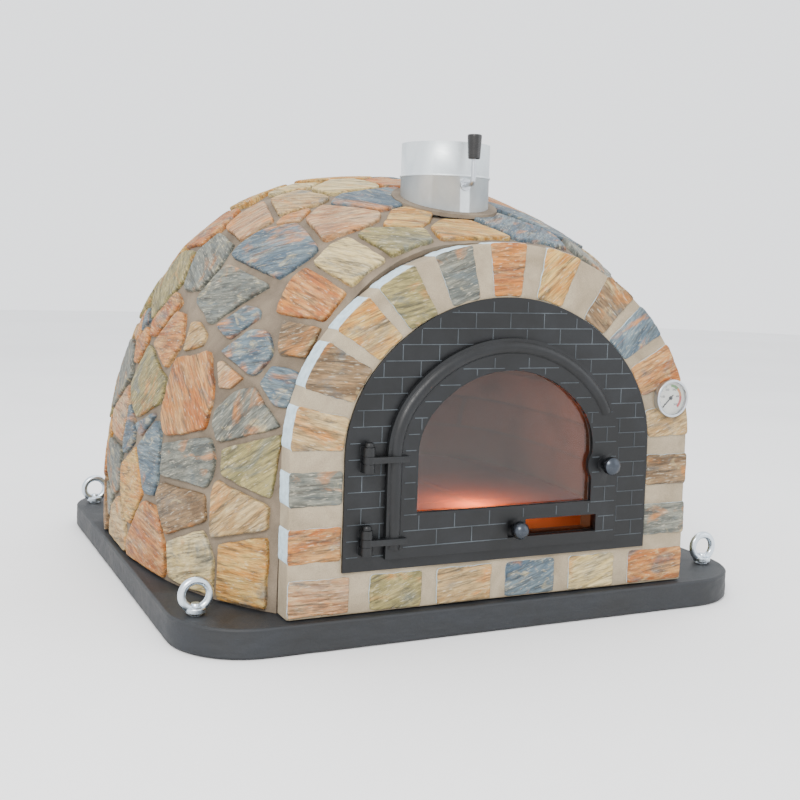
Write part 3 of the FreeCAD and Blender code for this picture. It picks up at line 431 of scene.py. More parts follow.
@dataclass(frozen=True)
class Mottled:
    """A dull coloured surface with soft mottling and a fine tooth."""

    name: str
    base: Colour
    other: Colour
    rough: float = 0.8
    scale: float = 20.0
    tooth: float = 400.0
    relief: float = 0.4
    metal: float = 0.0

    def build(self) -> bpy.types.Material:
        """Makes the material.

        Returns:
            The material.
        """
        s = Shade(self.name)
        here = s.coords()
        cloud = s.grain(here, self.scale, 6.0, 0.62, 0.5)
        tooth = s.grain(here, self.tooth, 3.0, 0.65)
        colour = s.blend(s.spread(cloud, 0.35, 0.68), self.base, self.other)
        rough = s.spread(tooth, 0.3, 0.7, self.rough - 0.06, self.rough + 0.06)
        normal = s.bump(tooth, self.relief * MM, 0.6)
        return s.finish(Base_Color=colour, Roughness=rough, Metallic=self.metal, Normal=normal)


@dataclass(frozen=True)
class DarkSlab:
    """Charcoal cast slab: brushed streaks, pinholes and a bluish bloom."""

    name: str = "dark_slab"
    base: Colour = tint(18, 20, 22)
    bloom: Colour = tint(36, 40, 46)

    def build(self) -> bpy.types.Material:
        """Makes the material.

        Returns:
            The material.
        """
        s = Shade(self.name)
        here = s.coords()
        brush = s.grain(s.stretch(here, (18, 18, 190)), 1.0, 5.0, 0.65, 0.3)
        cloud = s.grain(here, 7.0, 5.0, 0.6, 0.8)
        grit = s.grain(here, 320.0, 4.0, 0.7)
        colour = s.blend(s.spread(cloud, 0.35, 0.7, 0.0, 0.7), self.base, self.bloom)
        colour = s.blend(1.0, colour, s.spread(grit, 0.25, 0.7, 0.7, 1.12), "MULTIPLY")
        normal = s.bump(brush, 1.2 * MM, 0.5)
        normal = s.bump(grit, 0.7 * MM, 0.6, normal)
        rough = s.spread(cloud, 0.3, 0.7, 0.52, 0.7)
        return s.finish(Base_Color=colour, Roughness=rough, Normal=normal)


@dataclass(frozen=True)
class FireBrick:
    """Fired clay laid in courses, sooted in patches."""

    name: str
    clay: Colour
    joint: Colour
    soot: float = 0.4

    def build(self) -> bpy.types.Material:
        """Makes the material.

        Returns:
            The material.
        """
        s = Shade(self.name)
        here = s.coords()
        turned = s.add("Mapping", Vector=here, Rotation=(math.pi / 2, 0, 0)).outputs["Vector"]
        dark = (self.clay[0] * 0.7, self.clay[1] * 0.62, self.clay[2] * 0.6, 1.0)
        brick = s.add("TexBrick", Vector=turned, Scale=1.0, Color1=self.clay, Color2=dark,
                      Mortar=self.joint, Mortar_Size=0.003, Brick_Width=0.2, Row_Height=0.068)
        cloud = s.grain(here, 6.0, 5.0, 0.6, 0.8)
        grit = s.grain(here, 300.0, 3.0, 0.6)
        black = s.blend(0.75, brick.outputs["Color"], tint(60, 52, 46))
        colour = s.blend(s.spread(cloud, 0.45, 0.7, 0.0, self.soot), brick.outputs["Color"], black)
        normal = s.bump(grit, 0.3 * MM, 0.25)
        return s.finish(Base_Color=colour, Roughness=0.88, Normal=normal)


@dataclass(frozen=True)
class StoveGlass:
    """Clear heat-proof glass with a faint warm cast and wipe marks."""

    name: str
    cast: Colour
    rough: float = 0.02

    def build(self) -> bpy.types.Material:
        """Makes the material.

        Returns:
            The material.
        """
        s = Shade(self.name)
        haze = s.grain(s.stretch(s.coords(), (6, 20, 14)), 1.0, 5.0, 0.6, 1.2)
        rough = s.spread(haze, 0.45, 0.8, self.rough, self.rough + 0.06)
        return s.finish(Base_Color=self.cast, Roughness=rough, Transmission_Weight=1.0, IOR=1.45)


class Shape:
    """Points and faces gathered for one mesh, with what each point carries."""

    KINDS = {"main": "FLOAT_COLOR", "vein": "FLOAT_COLOR", "bed": "FLOAT_VECTOR", "sawn": "FLOAT"}
    FIELDS = {"main": "color", "vein": "color", "bed": "vector", "sawn": "value"}

    def __init__(self) -> None:
        """Starts with nothing."""
        self.points: list[Vector] = []
        self.faces: list[tuple[int, ...]] = []
        self.carried: dict[str, list] = {}

    def add(self, points: Sequence[Vector], faces: Iterable[Sequence[int]], **carried: list) -> None:
        """Adds a closed piece.

        Args:
            points: Its points.
            faces: Its faces, counted from its own first point.
            **carried: For each attribute, one value for each point.
        """
        start = len(self.points)
        self.points.extend(points)
        self.faces.extend(tuple(start + i for i in face) for face in faces)
        for key, values in carried.items():
            self.carried.setdefault(key, []).extend(values)

    def build(self, name: str, smooth_under: float = 40.0) -> bpy.types.Object:
        """Makes the object.

        Args:
            name: The object's name.
            smooth_under: Edges that turn less than this many degrees are shaded smooth.

        Returns:
            The object, linked to the scene.
        """
        mesh = bpy.data.meshes.new(name)
        mesh.from_pydata([tuple(p) for p in self.points], [], self.faces)
        for key, values in self.carried.items():
            layer = mesh.attributes.new(key, self.KINDS[key], "POINT")
            layer.data.foreach_set(self.FIELDS[key], np.asarray(values, dtype=np.float32).ravel())
        return stand(mesh, name, smooth_under)


def stand(mesh: bpy.types.Mesh, name: str, smooth_under: float = 40.0) -> bpy.types.Object:
    """Puts a mesh in the scene with smooth shading between shallow edges.

    Args:
        mesh: The mesh.
        name: The object's name.
        smooth_under: Edges that turn less than this many degrees are shaded smooth.

    Returns:
        The object.
    """
    mesh.polygons.foreach_set("use_smooth", [True] * len(mesh.polygons))
    mesh.set_sharp_from_angle(angle=math.radians(smooth_under))
    mesh.update()
    piece = bpy.data.objects.new(name, mesh)
    bpy.context.scene.collection.objects.link(piece)
    return piece


def loft(rings: Sequence[Sequence[Vector]], joined: bool = False) -> tuple[list[Vector], list[tuple]]:
    """Skins rings of equal length, and closes both ends or joins the last ring to the first.

    Args:
        rings: Closed rings, each anticlockwise seen from where the rings are heading.
        joined: True to join the last ring to the first.

    Returns:
        The points and the faces.
    """
    count = len(rings[0])
    points = [p for ring in rings for p in ring]
    faces: list[tuple] = []
    for r in range(len(rings) if joined else len(rings) - 1):
        low, high = r * count, (r + 1) % len(rings) * count
        for i in range(count):
            j = (i + 1) % count
            faces.append((low + i, low + j, high + j, high + i))
    if not joined:
        for start, turn in ((0, -1), ((len(rings) - 1) * count, 1)):
            ring = points[start:start + count]
            points.append(sum(ring, Vector()) / count)
            hub = len(points) - 1
            for i in range(count):
                pair = (start + i, start + (i + 1) % count)[::turn]
                faces.append((*pair, hub))
    return points, faces


def scene_mesh(node: str) -> bmesh.types.BMesh:
    """A CAD node's mesh as a copy with its loose triangles joined up.

    Args:
        node: The CAD node.

    Returns:
        The copy, which the caller frees.
    """
    copy = bmesh.new()
    copy.from_mesh(frame["nodes"][node].data)
    bmesh.ops.remove_doubles(copy, verts=copy.verts, dist=0.01 * MM)
    return copy


def tree_of(*nodes: str) -> BVHTree:
    """A ray casting tree over some CAD nodes.

    Args:
        *nodes: The CAD nodes.

    Returns:
        The tree.
    """
    points: list[Vector] = []
    faces: list[tuple[int, ...]] = []
    for node in nodes:
        mesh = frame["nodes"][node].data
        start = len(points)
        points.extend(v.co.copy() for v in mesh.vertices)
        faces.extend(tuple(start + i for i in face.vertices) for face in mesh.polygons)
    return BVHTree.FromPolygons(points, faces)


def islands(node: str) -> list[tuple[list[Vector], list[tuple[int, ...]]]]:
    """The separate solids of a CAD node, each as points and faces.

    Args:
        node: The CAD node.

    Returns:
        The points and the faces of each solid.
    """
    whole = scene_mesh(node)
    whole.verts.ensure_lookup_table()
    seen: set[int] = set()
    found = []
    for first in whole.verts:
        if first.index in seen:
            continue
        group, queue = [], [first]
        seen.add(first.index)
        while queue:
            vert = queue.pop()
            group.append(vert)
            for edge in vert.link_edges:
                other = edge.other_vert(vert)
                if other.index not in seen:
                    seen.add(other.index)
                    queue.append(other)
        place = {vert.index: i for i, vert in enumerate(group)}
        faces = {face for vert in group for face in vert.link_faces}
        found.append(([v.co.copy() for v in group],
                      [tuple(place[v.index] for v in face.verts) for face in faces]))
    whole.free()
    return found


def dress(piece: bpy.types.Object, material: bpy.types.Material, body: str, slot: str,
          *nodes: str) -> bpy.types.Object:
    """Gives a piece its material and body, and hides the nodes that it stands for.

    Args:
        piece: The piece, in place.
        material: Its material.
        body: The CAD body that it moves with.
        slot: The record's material slot; not used.
        *nodes: The CAD nodes that it stands for.

    Returns:
        The piece.
    """
    piece.data.materials.clear()
    piece.data.materials.append(material)
    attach(piece, body)
    if nodes:
        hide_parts(*nodes)
    LOG.info("%s: %d faces on %s", piece.name, len(piece.data.polygons), body)
    return piece


def restyle(node: str, material: bpy.types.Material, edge: float = 0.4,
            smooth_under: float = 35.0) -> bpy.types.Object:
    """Copies a CAD node with joined faces, smooth shading and a fine rounding on its edges.

    Args:
        node: The CAD node.
        material: Its material.
        edge: Rounding on sharp edges, in millimetres.
        smooth_under: Edges that turn less than this many degrees are shaded smooth.

    Returns:
        The copy, which stands for the node.
    """
    copy = scene_mesh(node)
    bmesh.ops.recalc_face_normals(copy, faces=copy.faces)
    bmesh.ops.dissolve_limit(copy, angle_limit=math.radians(0.4), verts=copy.verts,
                             edges=copy.edges)
    mesh = bpy.data.meshes.new(node + "_look")
    copy.to_mesh(mesh)
    copy.free()
    piece = stand(mesh, node + "_look", smooth_under)
    if edge:
        bevel = piece.modifiers.new("edge", "BEVEL")
        bevel.width, bevel.segments = edge * MM, 2
        bevel.limit_method, bevel.angle_limit = "ANGLE", math.radians(smooth_under)
        bevel.harden_normals = True
    return dress(piece, material, BODY_OF[node], SLOT_OF[node], node)


def front_way(turn: float) -> Vector:
    """The direction at a turn in the plane of the oven's front, from +X towards +Z."""
    return Vector((math.cos(turn), 0, math.sin(turn)))


def noise_at(place: Vector, scale: Sequence[float]) -> float:
    """Noise from -1 to 1 at a place scaled along each axis."""
    return noise.noise(Vector((place[0] * scale[0], place[1] * scale[1], place[2] * scale[2])))


def terrace(value: float, steps: float) -> float:
    """A value turned into steps with soft risers.

    Args:
        value: The value.
        steps: How many steps there are to a rise of 1.

    Returns:
        The stepped value.
    """
    whole = math.floor(value * steps)
    part = value * steps - whole
    part = part * part * (3 - 2 * part)
    part = part * part * (3 - 2 * part)
    return (whole + part) / steps


@dataclass
class SplitFace:
    """How one split stone is shaped: its rim, its face relief and its bedding."""

    tone: Tone
    bedding: float = 0.0
    seed: float = 0.0
    relief: float = 3.0 * MM
    rim: float = 3.6 * MM
    drop: float = 3.6 * MM
    steps: tuple[float, ...] = (0.0, 0.5, 1.4, 2.8, 4.6, 7.0, 11.0, 16.0)
    core: tuple[float, ...] = (0.18, 0.36, 0.54, 0.70, 0.84, 0.94)

    def bed(self, across: float, up: float, out: float) -> Vector:
        """Coordinates along, across and out of the bedding, shifted for each stone.

        Args:
            across: Distance across the stone.
            up: Distance up the stone.
            out: Distance out of its face.

        Returns:
            The bedding coordinates.
        """
        cos, sin = math.cos(self.bedding), math.sin(self.bedding)
        return Vector((across * cos + up * sin + self.seed, up * cos - across * sin - self.seed,
                       out + self.seed * 0.5))

    def height(self, bed: Vector, inset: float) -> float:
        """How far the face stands out at a place.

        Args:
            bed: Bedding coordinates of the place.
            inset: Distance in from the rim.

        Returns:
            The height over the stone's middle plane, in metres.
        """
        wide = 0.5 + 0.5 * noise_at(bed, (6.0, 22.0, 20.0)) + 0.18 * noise_at(bed, (19.0, 60.0, 40.0))
        fine = noise_at(bed, (34.0, 120.0, 60.0))
        chip = noise_at(bed, (70.0, 90.0, 60.0))
        lift = self.relief * (terrace(wide, 5.0) - 0.55) + 0.55 * MM * fine
        rim = self.rim * (1.0 + 0.45 * chip)
        if inset < rim:
            share = 1 - inset / rim
            lift -= self.drop * (1 - math.sqrt(max(0.0, 1 - share * share)))
        return lift

    def rings(self, outline: Sequence[float]) -> list[list[tuple[float, float]]]:
        """Radii and insets of the rings from the rim to near the middle.

        Args:
            outline: The radius at each step round.

        Returns:
            For each ring, a radius and an inset at each step round.
        """
        rows = []
        for step in self.steps:
            rows.append([(r - min(step * MM, 0.4 * r), min(step * MM, 0.4 * r)) for r in outline])
        last = rows[-1]
        for share in self.core:
            rows.append([(r * (1 - share), inset + r * share) for r, inset in last])
        return rows

    def add_to(self, shape: Shape, outline: Sequence[float], place: Placer, depth: float,
               sawn: float = 0.0) -> None:
        """Adds the stone to a mesh.

        Args:
            shape: The mesh being gathered.
            outline: The radius from its middle at each step round, anticlockwise.
            place: Gives the point and the outward direction for a place across and up.
            depth: How deep the stone's sides go.
            sawn: 1 where the sides are sawn, 0 where they are split.
        """
        count = len(outline)
        turns = [(math.cos(math.tau * i / count), math.sin(math.tau * i / count))
                 for i in range(count)]
        rings: list[list[Vector]] = []
        beds: list[Vector] = []
        edge: list[float] = []

        def lay(radii: Sequence[tuple[float, float]], down: float, cut: float) -> None:
            """Lays one ring of points.

            Args:
                radii: A radius and an inset at each step round.
                down: How far the ring is sunk.
                cut: 1 where it is sawn.
            """
            ring = []
            for (cos, sin), (radius, inset) in zip(turns, radii):
                across, up = radius * cos, radius * sin
                bed = self.bed(across, up, 0.0)
                point, out = place(across, up)
                lift = self.height(bed, inset) - down
                ring.append(point + out * lift)
                beds.append(self.bed(across, up, lift))
                edge.append(cut)
            rings.append(ring)

        rows = self.rings(outline)
        skirt = [(r, 0.0) for r, _ in rows[0]]
        for down in (depth, depth * 0.6, depth * 0.3, depth * 0.12, depth * 0.04):
            lay(skirt, down, sawn)
        for number, row in enumerate(rows):
            lay(row, 0.0, sawn if number == 0 else 0.0)
        points, faces = loft(rings)
        beds += [beds[0], self.bed(0.0, 0.0, 0.0)]
        edge += [sawn, 0.0]
        main, vein = self.tone.value
        shape.add(points, faces, main=[main] * len(points), vein=[vein] * len(points),
                  bed=[tuple(b) for b in beds], sawn=edge)


@dataclass(frozen=True)
class Laid:
    """A stone with a set place: bearing and rise in degrees, size in millimetres, its kind."""

    bearing: float
    rise: float
    width: float
    height: float
    tone: Tone


@dataclass
class Seat:
    """A stone's seat on the dome: its middle, its directions and its half sizes."""

    middle: Vector
    out: Vector
    half: tuple[float, float]
    tone: Tone
    twist: float
    placed: bool = False
    across: Vector = field(init=False)
    up: Vector = field(init=False)

    def __post_init__(self) -> None:
        """Works out the level direction across the stone and the direction up it."""
        level = Vector((0, 0, 1)).cross(self.out)
        if level.length < 0.2:
            level = Vector((1, 0, 0)) - self.out * self.out.x
        level.normalize()
        rise = self.out.cross(level)
        cos, sin = math.cos(self.twist), math.sin(self.twist)
        self.across = level * cos + rise * sin
        self.up = rise * cos - level * sin

    def reach(self, cos: float, sin: float, power: float = 2.0) -> float:
        """The wanted radius in a direction, as an oval or a rounded oblong."""
        a, b = self.half
        return (abs(cos / a) ** power + abs(sin / b) ** power) ** (-1 / power)


@dataclass
class DomeCladding:
    """Split stones in mortar over the dome, some at set places and the rest at random."""

    node: str = "stone_cladding"
    pivot: Vector = field(default_factory=lambda: Vector((0, 0, 45 * MM)))
    joint: float = 9.5 * MM
    proud: float = 1.2 * MM
    depth: float = 14 * MM
    foot_z: float = 48 * MM
    wall_y: float = -434 * MM
    cut_y: float = -443 * MM
    mid_y: float = 31 * MM
    back_y: float = 485 * MM
    flue: tuple[float, float, float] = (0.0, -248 * MM, 88 * MM)
    samples: int = 64
    seed: int = 41
    placed_room: float = 0.92
    fill_room: float = 0.86
    placed_growth: float = 1.6
    fill_growth: float = 1.9
    around: int = 190
    front_rows: int = 46
    back_rows: int = 70
    back_power: float = 2 / 2.64
    bed_out: float = 4.6 * MM
    bed_in: float = 13 * MM
    laid: tuple[Laid, ...] = (
        Laid(-95, 4, 118, 70, Tone.TAN), Laid(-74, 5, 150, 95, Tone.RUST),
        Laid(-57, 6, 119, 65, Tone.CREAM), Laid(-44, 6, 108, 110, Tone.GOLD),
        Laid(-84, 15, 150, 90, Tone.GOLD), Laid(-60, 14, 146, 72, Tone.BROWN),
        Laid(-46, 14, 133, 75, Tone.TAN), Laid(-101, 25, 125, 84, Tone.PINK),
        Laid(-75, 21, 100, 90, Tone.BLUE), Laid(-60, 21, 140, 80, Tone.SLATE),
        Laid(-44, 21, 101, 72, Tone.OLIVE), Laid(-79, 26, 120, 30, Tone.BLUE),
        Laid(-46, 28, 139, 57, Tone.SLATE), Laid(-106, 32, 150, 110, Tone.SLATE),
        Laid(-82, 33, 150, 110, Tone.OLIVE), Laid(-62, 31, 130, 126, Tone.RUST),
        Laid(-51, 34, 75, 27, Tone.PINK), Laid(-41, 32, 55, 37, Tone.BLUE),
        Laid(-78, 40, 110, 67, Tone.RUST), Laid(-49, 37, 200, 50, Tone.BLUE),
        Laid(-53, 42, 200, 38, Tone.BLUE), Laid(-84, 44, 130, 59, Tone.RUST),
        Laid(-36, 44, 139, 81, Tone.RUST), Laid(-57, 47, 220, 78, Tone.SLATE),
        Laid(-92, 49, 150, 110, Tone.OLIVE), Laid(-30, 49, 135, 98, Tone.CREAM),
        Laid(-76, 54, 110, 90, Tone.SLATE), Laid(-51, 55, 190, 110, Tone.BLUE),
        Laid(-22, 53, 95, 98, Tone.OLIVE), Laid(-70, 62, 115, 90, Tone.PINK),
        Laid(-53, 62, 50, 38, Tone.PINK), Laid(-38, 61, 112, 110, Tone.PINK),
        Laid(-61, 67, 110, 100, Tone.TAN), Laid(-32, 68, 89, 120, Tone.BLUE),
        Laid(-18, 60, 50, 130, Tone.GOLD), Laid(-21, 82, 65, 60, Tone.RUST),
        Laid(-52, 75, 90, 100, Tone.CREAM))
    fill: tuple[tuple[int, int, int], ...] = (
        (175, 100, 1500), (140, 84, 2500), (108, 66, 3500), (78, 46, 3500), (52, 32, 2500))
    seats: list[Seat] = field(default_factory=list)
    skin: BVHTree = field(init=False)

    def seat(self, bearing: float, rise: float, width: float, height: float, tone: Tone,
             twist: float) -> Seat | None:
        """Finds where a stone sits, or nothing where the wall, flue or slab is in the way.

        Args:
            bearing: Degrees round from the front towards the right.
            rise: Degrees up from the foot of the dome.
            width: Full width in millimetres.
            height: Full height in millimetres.
            tone: The kind of stone.
            twist: Turn in its own plane, in radians.

        Returns:
            The seat, or None where there is no room.
        """
        b, e = math.radians(bearing), math.radians(rise)
        way = Vector((math.sin(b) * math.cos(e), -math.cos(b) * math.cos(e), math.sin(e)))
        spot, out, _, _ = self.skin.ray_cast(self.pivot + way * 2, -way)
        if spot is None or spot.y < self.wall_y + 12 * MM or spot.z < self.foot_z + 14 * MM:
            return None
        if math.hypot(spot.x - self.flue[0], spot.y - self.flue[1]) < self.flue[2] + 18 * MM:
            return None
        if out.dot(way) < 0:
            out = -out
        return Seat(spot, out, (width * MM / 2, height * MM / 2), tone, twist)

    def clear(self, new: Seat, slack: float) -> bool:
        """Whether a new seat keeps off the others.

        Args:
            new: The new seat.
            slack: How much of the full spacing it must keep.

        Returns:
            True if it does.
        """
        for old in self.seats:
            gap = new.middle - old.middle
            length = gap.length
            if length > 0.3:
                continue
            if length < 1 * MM:
                return False
            x, y = gap.dot(old.across) / length, gap.dot(old.up) / length
            p, q = gap.dot(new.across) / length, gap.dot(new.up) / length
            keep = self.placed_room if old.placed else slack
            if length < keep * (old.reach(x, y, 3.0) + new.reach(p, q, 3.0)) + self.joint * 0.6:
                return False
        return True

    def lay_out(self) -> None:
        """Seats the stones with set places, then fills the rest from large to small."""
        dice = random.Random(self.seed)
        for one in self.laid:
            seat = self.seat(one.bearing, one.rise, one.width, one.height, one.tone,
                             math.radians(dice.uniform(-7, 7)))
            if seat:
                seat.placed = True
                self.seats.append(seat)
        kinds = [Tone.TAN, Tone.GOLD, Tone.RUST, Tone.PINK, Tone.BROWN, Tone.OLIVE, Tone.SLATE,
                 Tone.SLATE, Tone.BLUE, Tone.BLUE, Tone.CREAM, Tone.RUST, Tone.TAN]
        for width, height, tries in self.fill:
            for _ in range(tries):
                rise = math.degrees(math.asin(dice.uniform(0.0, 1.0)))
                seat = self.seat(dice.uniform(-180, 180), rise, width * dice.uniform(0.8, 1.2),
                                 height * dice.uniform(0.8, 1.2), dice.choice(kinds),
                                 math.radians(dice.uniform(-9, 9)))
                if seat and self.clear(seat, self.fill_room):
                    self.seats.append(seat)
        LOG.info("dome: %d stones", len(self.seats))

    def outline(self, own: Seat, dice: random.Random) -> list[float]:
        """The stone's radius at each step round, kept off its neighbours and the edges.

        Args:
            own: The stone's seat.
            dice: The cladding's own dice.

        Returns:
            The radii.
        """
        near = [s for s in self.seats if s is not own and (s.middle - own.middle).length < 0.34]
        walls = []
        for other in near:
            gap = other.middle - own.middle
            flat = Vector((gap.dot(own.across), gap.dot(own.up)))
            length = max(gap.length, 1e-4)
            flat.normalize()
            mine = own.reach(flat.x, flat.y)
            way = -gap / length
            theirs = other.reach(way.dot(other.across), way.dot(other.up))
            walls.append((flat, length * mine / (mine + theirs) - self.joint / 2))
        start = Vector((dice.uniform(0, 50), dice.uniform(0, 50), 0))
        growth = self.placed_growth if own.placed else self.fill_growth
        radii = []
        for i in range(self.samples):
            cos, sin = (math.cos(math.tau * i / self.samples),
                        math.sin(math.tau * i / self.samples))
            limits = [own.reach(cos, sin, 4.2) * growth]
            for flat, far in walls:
                along = flat.x * cos + flat.y * sin
                if along > 0.05:
                    limits.append(max(far, 4 * MM) / along)
            way = own.across * cos + own.up * sin
            if way.z < -0.05:
                limits.append((self.foot_z - own.middle.z) / way.z)
            if way.y < -0.05:
                limits.append((self.wall_y + 2 * MM - own.middle.y) / way.y)
            limits.extend(self.to_flue(own.middle, way))
            radius = sum(r ** -20.0 for r in limits) ** (-1 / 20.0)
            wave = noise.noise(start + Vector((cos * 1.6, sin * 1.6, 0)))
            tooth = noise.noise(start + Vector((cos * 6, sin * 6, 3)))
            radii.append(radius * (0.99 + 0.05 * wave + 0.03 * tooth))
        return radii

    def to_flue(self, middle: Vector, way: Vector) -> list[float]:
        """The distance to the flue's collar along a direction, if it is met.

        Args:
            middle: The stone's middle.
            way: The direction.

        Returns:
            One distance, or nothing.
        """
        x, y, reach = self.flue
        from_x, from_y = middle.x - x, middle.y - y
        square = way.x ** 2 + way.y ** 2
        half = from_x * way.x + from_y * way.y
        root = half * half - square * (from_x ** 2 + from_y ** 2 - reach ** 2)
        if square < 1e-6 or root <= 0 or half >= 0:
            return []
        return [max(6 * MM, (-half - math.sqrt(root)) / square)]

    def stones(self, material: bpy.types.Material) -> None:
        """Builds the stones in four pieces, by the quarter that they sit in.

        Args:
            material: The stone's material.
        """
        dice = random.Random(self.seed + 1)
        quarters = {name: Shape() for name in ("front_left", "front_right", "back_left",
                                               "back_right")}
        for own in self.seats:
            radii = self.outline(own, dice)
            bend = dice.uniform(0.35, 0.6)
            tip = Vector((dice.uniform(-1, 1), dice.uniform(-1, 1))) * 0.012
            lift = self.proud + dice.uniform(0, 1.8) * MM

            def place(across: float, up: float) -> tuple[Vector, Vector]:
                """Finds a place on the stone's bent face.

                Args:
                    across: Distance across it.
                    up: Distance up it.

                Returns:
                    The point and its outward direction.
                """
                spot = own.middle + own.across * across + own.up * up
                skin, out, _, _ = self.skin.find_nearest(spot)
                if out.dot(own.out) < 0:
                    out = -out
                over = min((spot - skin).dot(own.out), 9 * MM) * bend
                point = skin + own.out * (over + lift + tip.x * across + tip.y * up)
                point.z = max(point.z, self.foot_z - 2 * MM)
                point.y = max(point.y, self.wall_y)
                return point, (out + own.out).normalized()

            side = ("front" if own.middle.y < 0 else "back") + "_"
            side += "left" if own.middle.x < 0 else "right"
            face = SplitFace(own.tone, math.radians(dice.gauss(0, 24)), dice.uniform(0, 40),
                             relief=dice.uniform(2.4, 4.6) * MM)
            face.add_to(quarters[side], radii, place, self.depth)
        for side, shape in quarters.items():
            dress(shape.build("dome_stones_" + side), material, "oven", "cladding_stone")

    def section(self, y: float, inset: float, count: int) -> list[Vector]:
        """The dome's outline from foot to foot at one Y, sunk by an inset with a rough face.

        Args:
            y: Where the section is.
            inset: How far it is sunk.
            count: How many steps it has.

        Returns:
            The points, from the right foot over to the left.
        """
        heart = Vector((0, max(y, self.cut_y + 0.5 * MM), self.pivot.z + 1 * MM))
        made: list[Vector] = []
        last = 2 * MM
        for i in range(count + 1):
            turn = math.pi * i / count
            way = front_way(turn)
            spot, out, _, _ = self.skin.ray_cast(heart + way, -way)
            if spot is None or (spot - heart).dot(way) < max(last * 0.8, 2 * MM):
                spot, out = heart + way * last, way
            last = (spot - heart).length
            wave = noise_at(spot, (22, 22, 22)) * 1.3 + noise_at(spot, (75, 75, 75)) * 0.9
            spot = spot - out * ((out.dot(way) > 0) * 2 - 1) * (inset + wave * MM)
            made.append(Vector((spot.x, min(max(spot.y, self.cut_y), self.back_y - 6 * MM),
                                max(spot.z, heart.z))))
        for foot in (made[0], made[-1]):
            foot.z = self.pivot.z + 0.2 * MM
        return made

    def mortar(self, material: bpy.types.Material) -> None:
        """Builds the mortar bed as a shell: sections along the oven, outside and back inside.

        Args:
            material: The mortar's material.
        """
        count = self.around
        rows = [self.cut_y + (self.mid_y - self.cut_y) * k / self.front_rows
                for k in range(self.front_rows)]
        for k in range(self.back_rows):
            share = math.sin(math.pi / 2 * k / self.back_rows) ** self.back_power if k else 0.0
            rows.append(self.mid_y + (self.back_y - self.mid_y) * min(share, 0.9985))
        outside = [self.section(y, self.bed_out, count) for y in rows]
        inside = [self.section(y, self.bed_in, count) for y in rows]
        wide = 2 * (count + 1)
        points: list[Vector] = []
        faces: list[tuple] = []
        for out_row, in_row in zip(outside, inside):
            points.extend(out_row + in_row[::-1])
        for r in range(len(rows) - 1):
            low, high = r * wide, (r + 1) * wide
            faces.extend((low + i, high + i, high + (i + 1) % wide, low + (i + 1) % wide)
                         for i in range(wide))
        last = (len(rows) - 1) * wide
        for i in range(count):
            faces.append((i, i + 1, wide - 2 - i, wide - 1 - i))
            faces.append((last + i + 1, last + i, last + wide - 1 - i, last + wide - 2 - i))
        shape = Shape()
        shape.add(points, faces)
        dress(shape.build("dome_mortar", 60), material, "oven", "mortar", self.node)

    def build(self, stone: bpy.types.Material, mortar: bpy.types.Material) -> None:
        """Builds the stones and the mortar.

        Args:
            stone: The stone's material.
            mortar: The mortar's material.
        """
        self.skin = tree_of(self.node)
        self.lay_out()
        self.stones(stone)
        self.mortar(mortar)


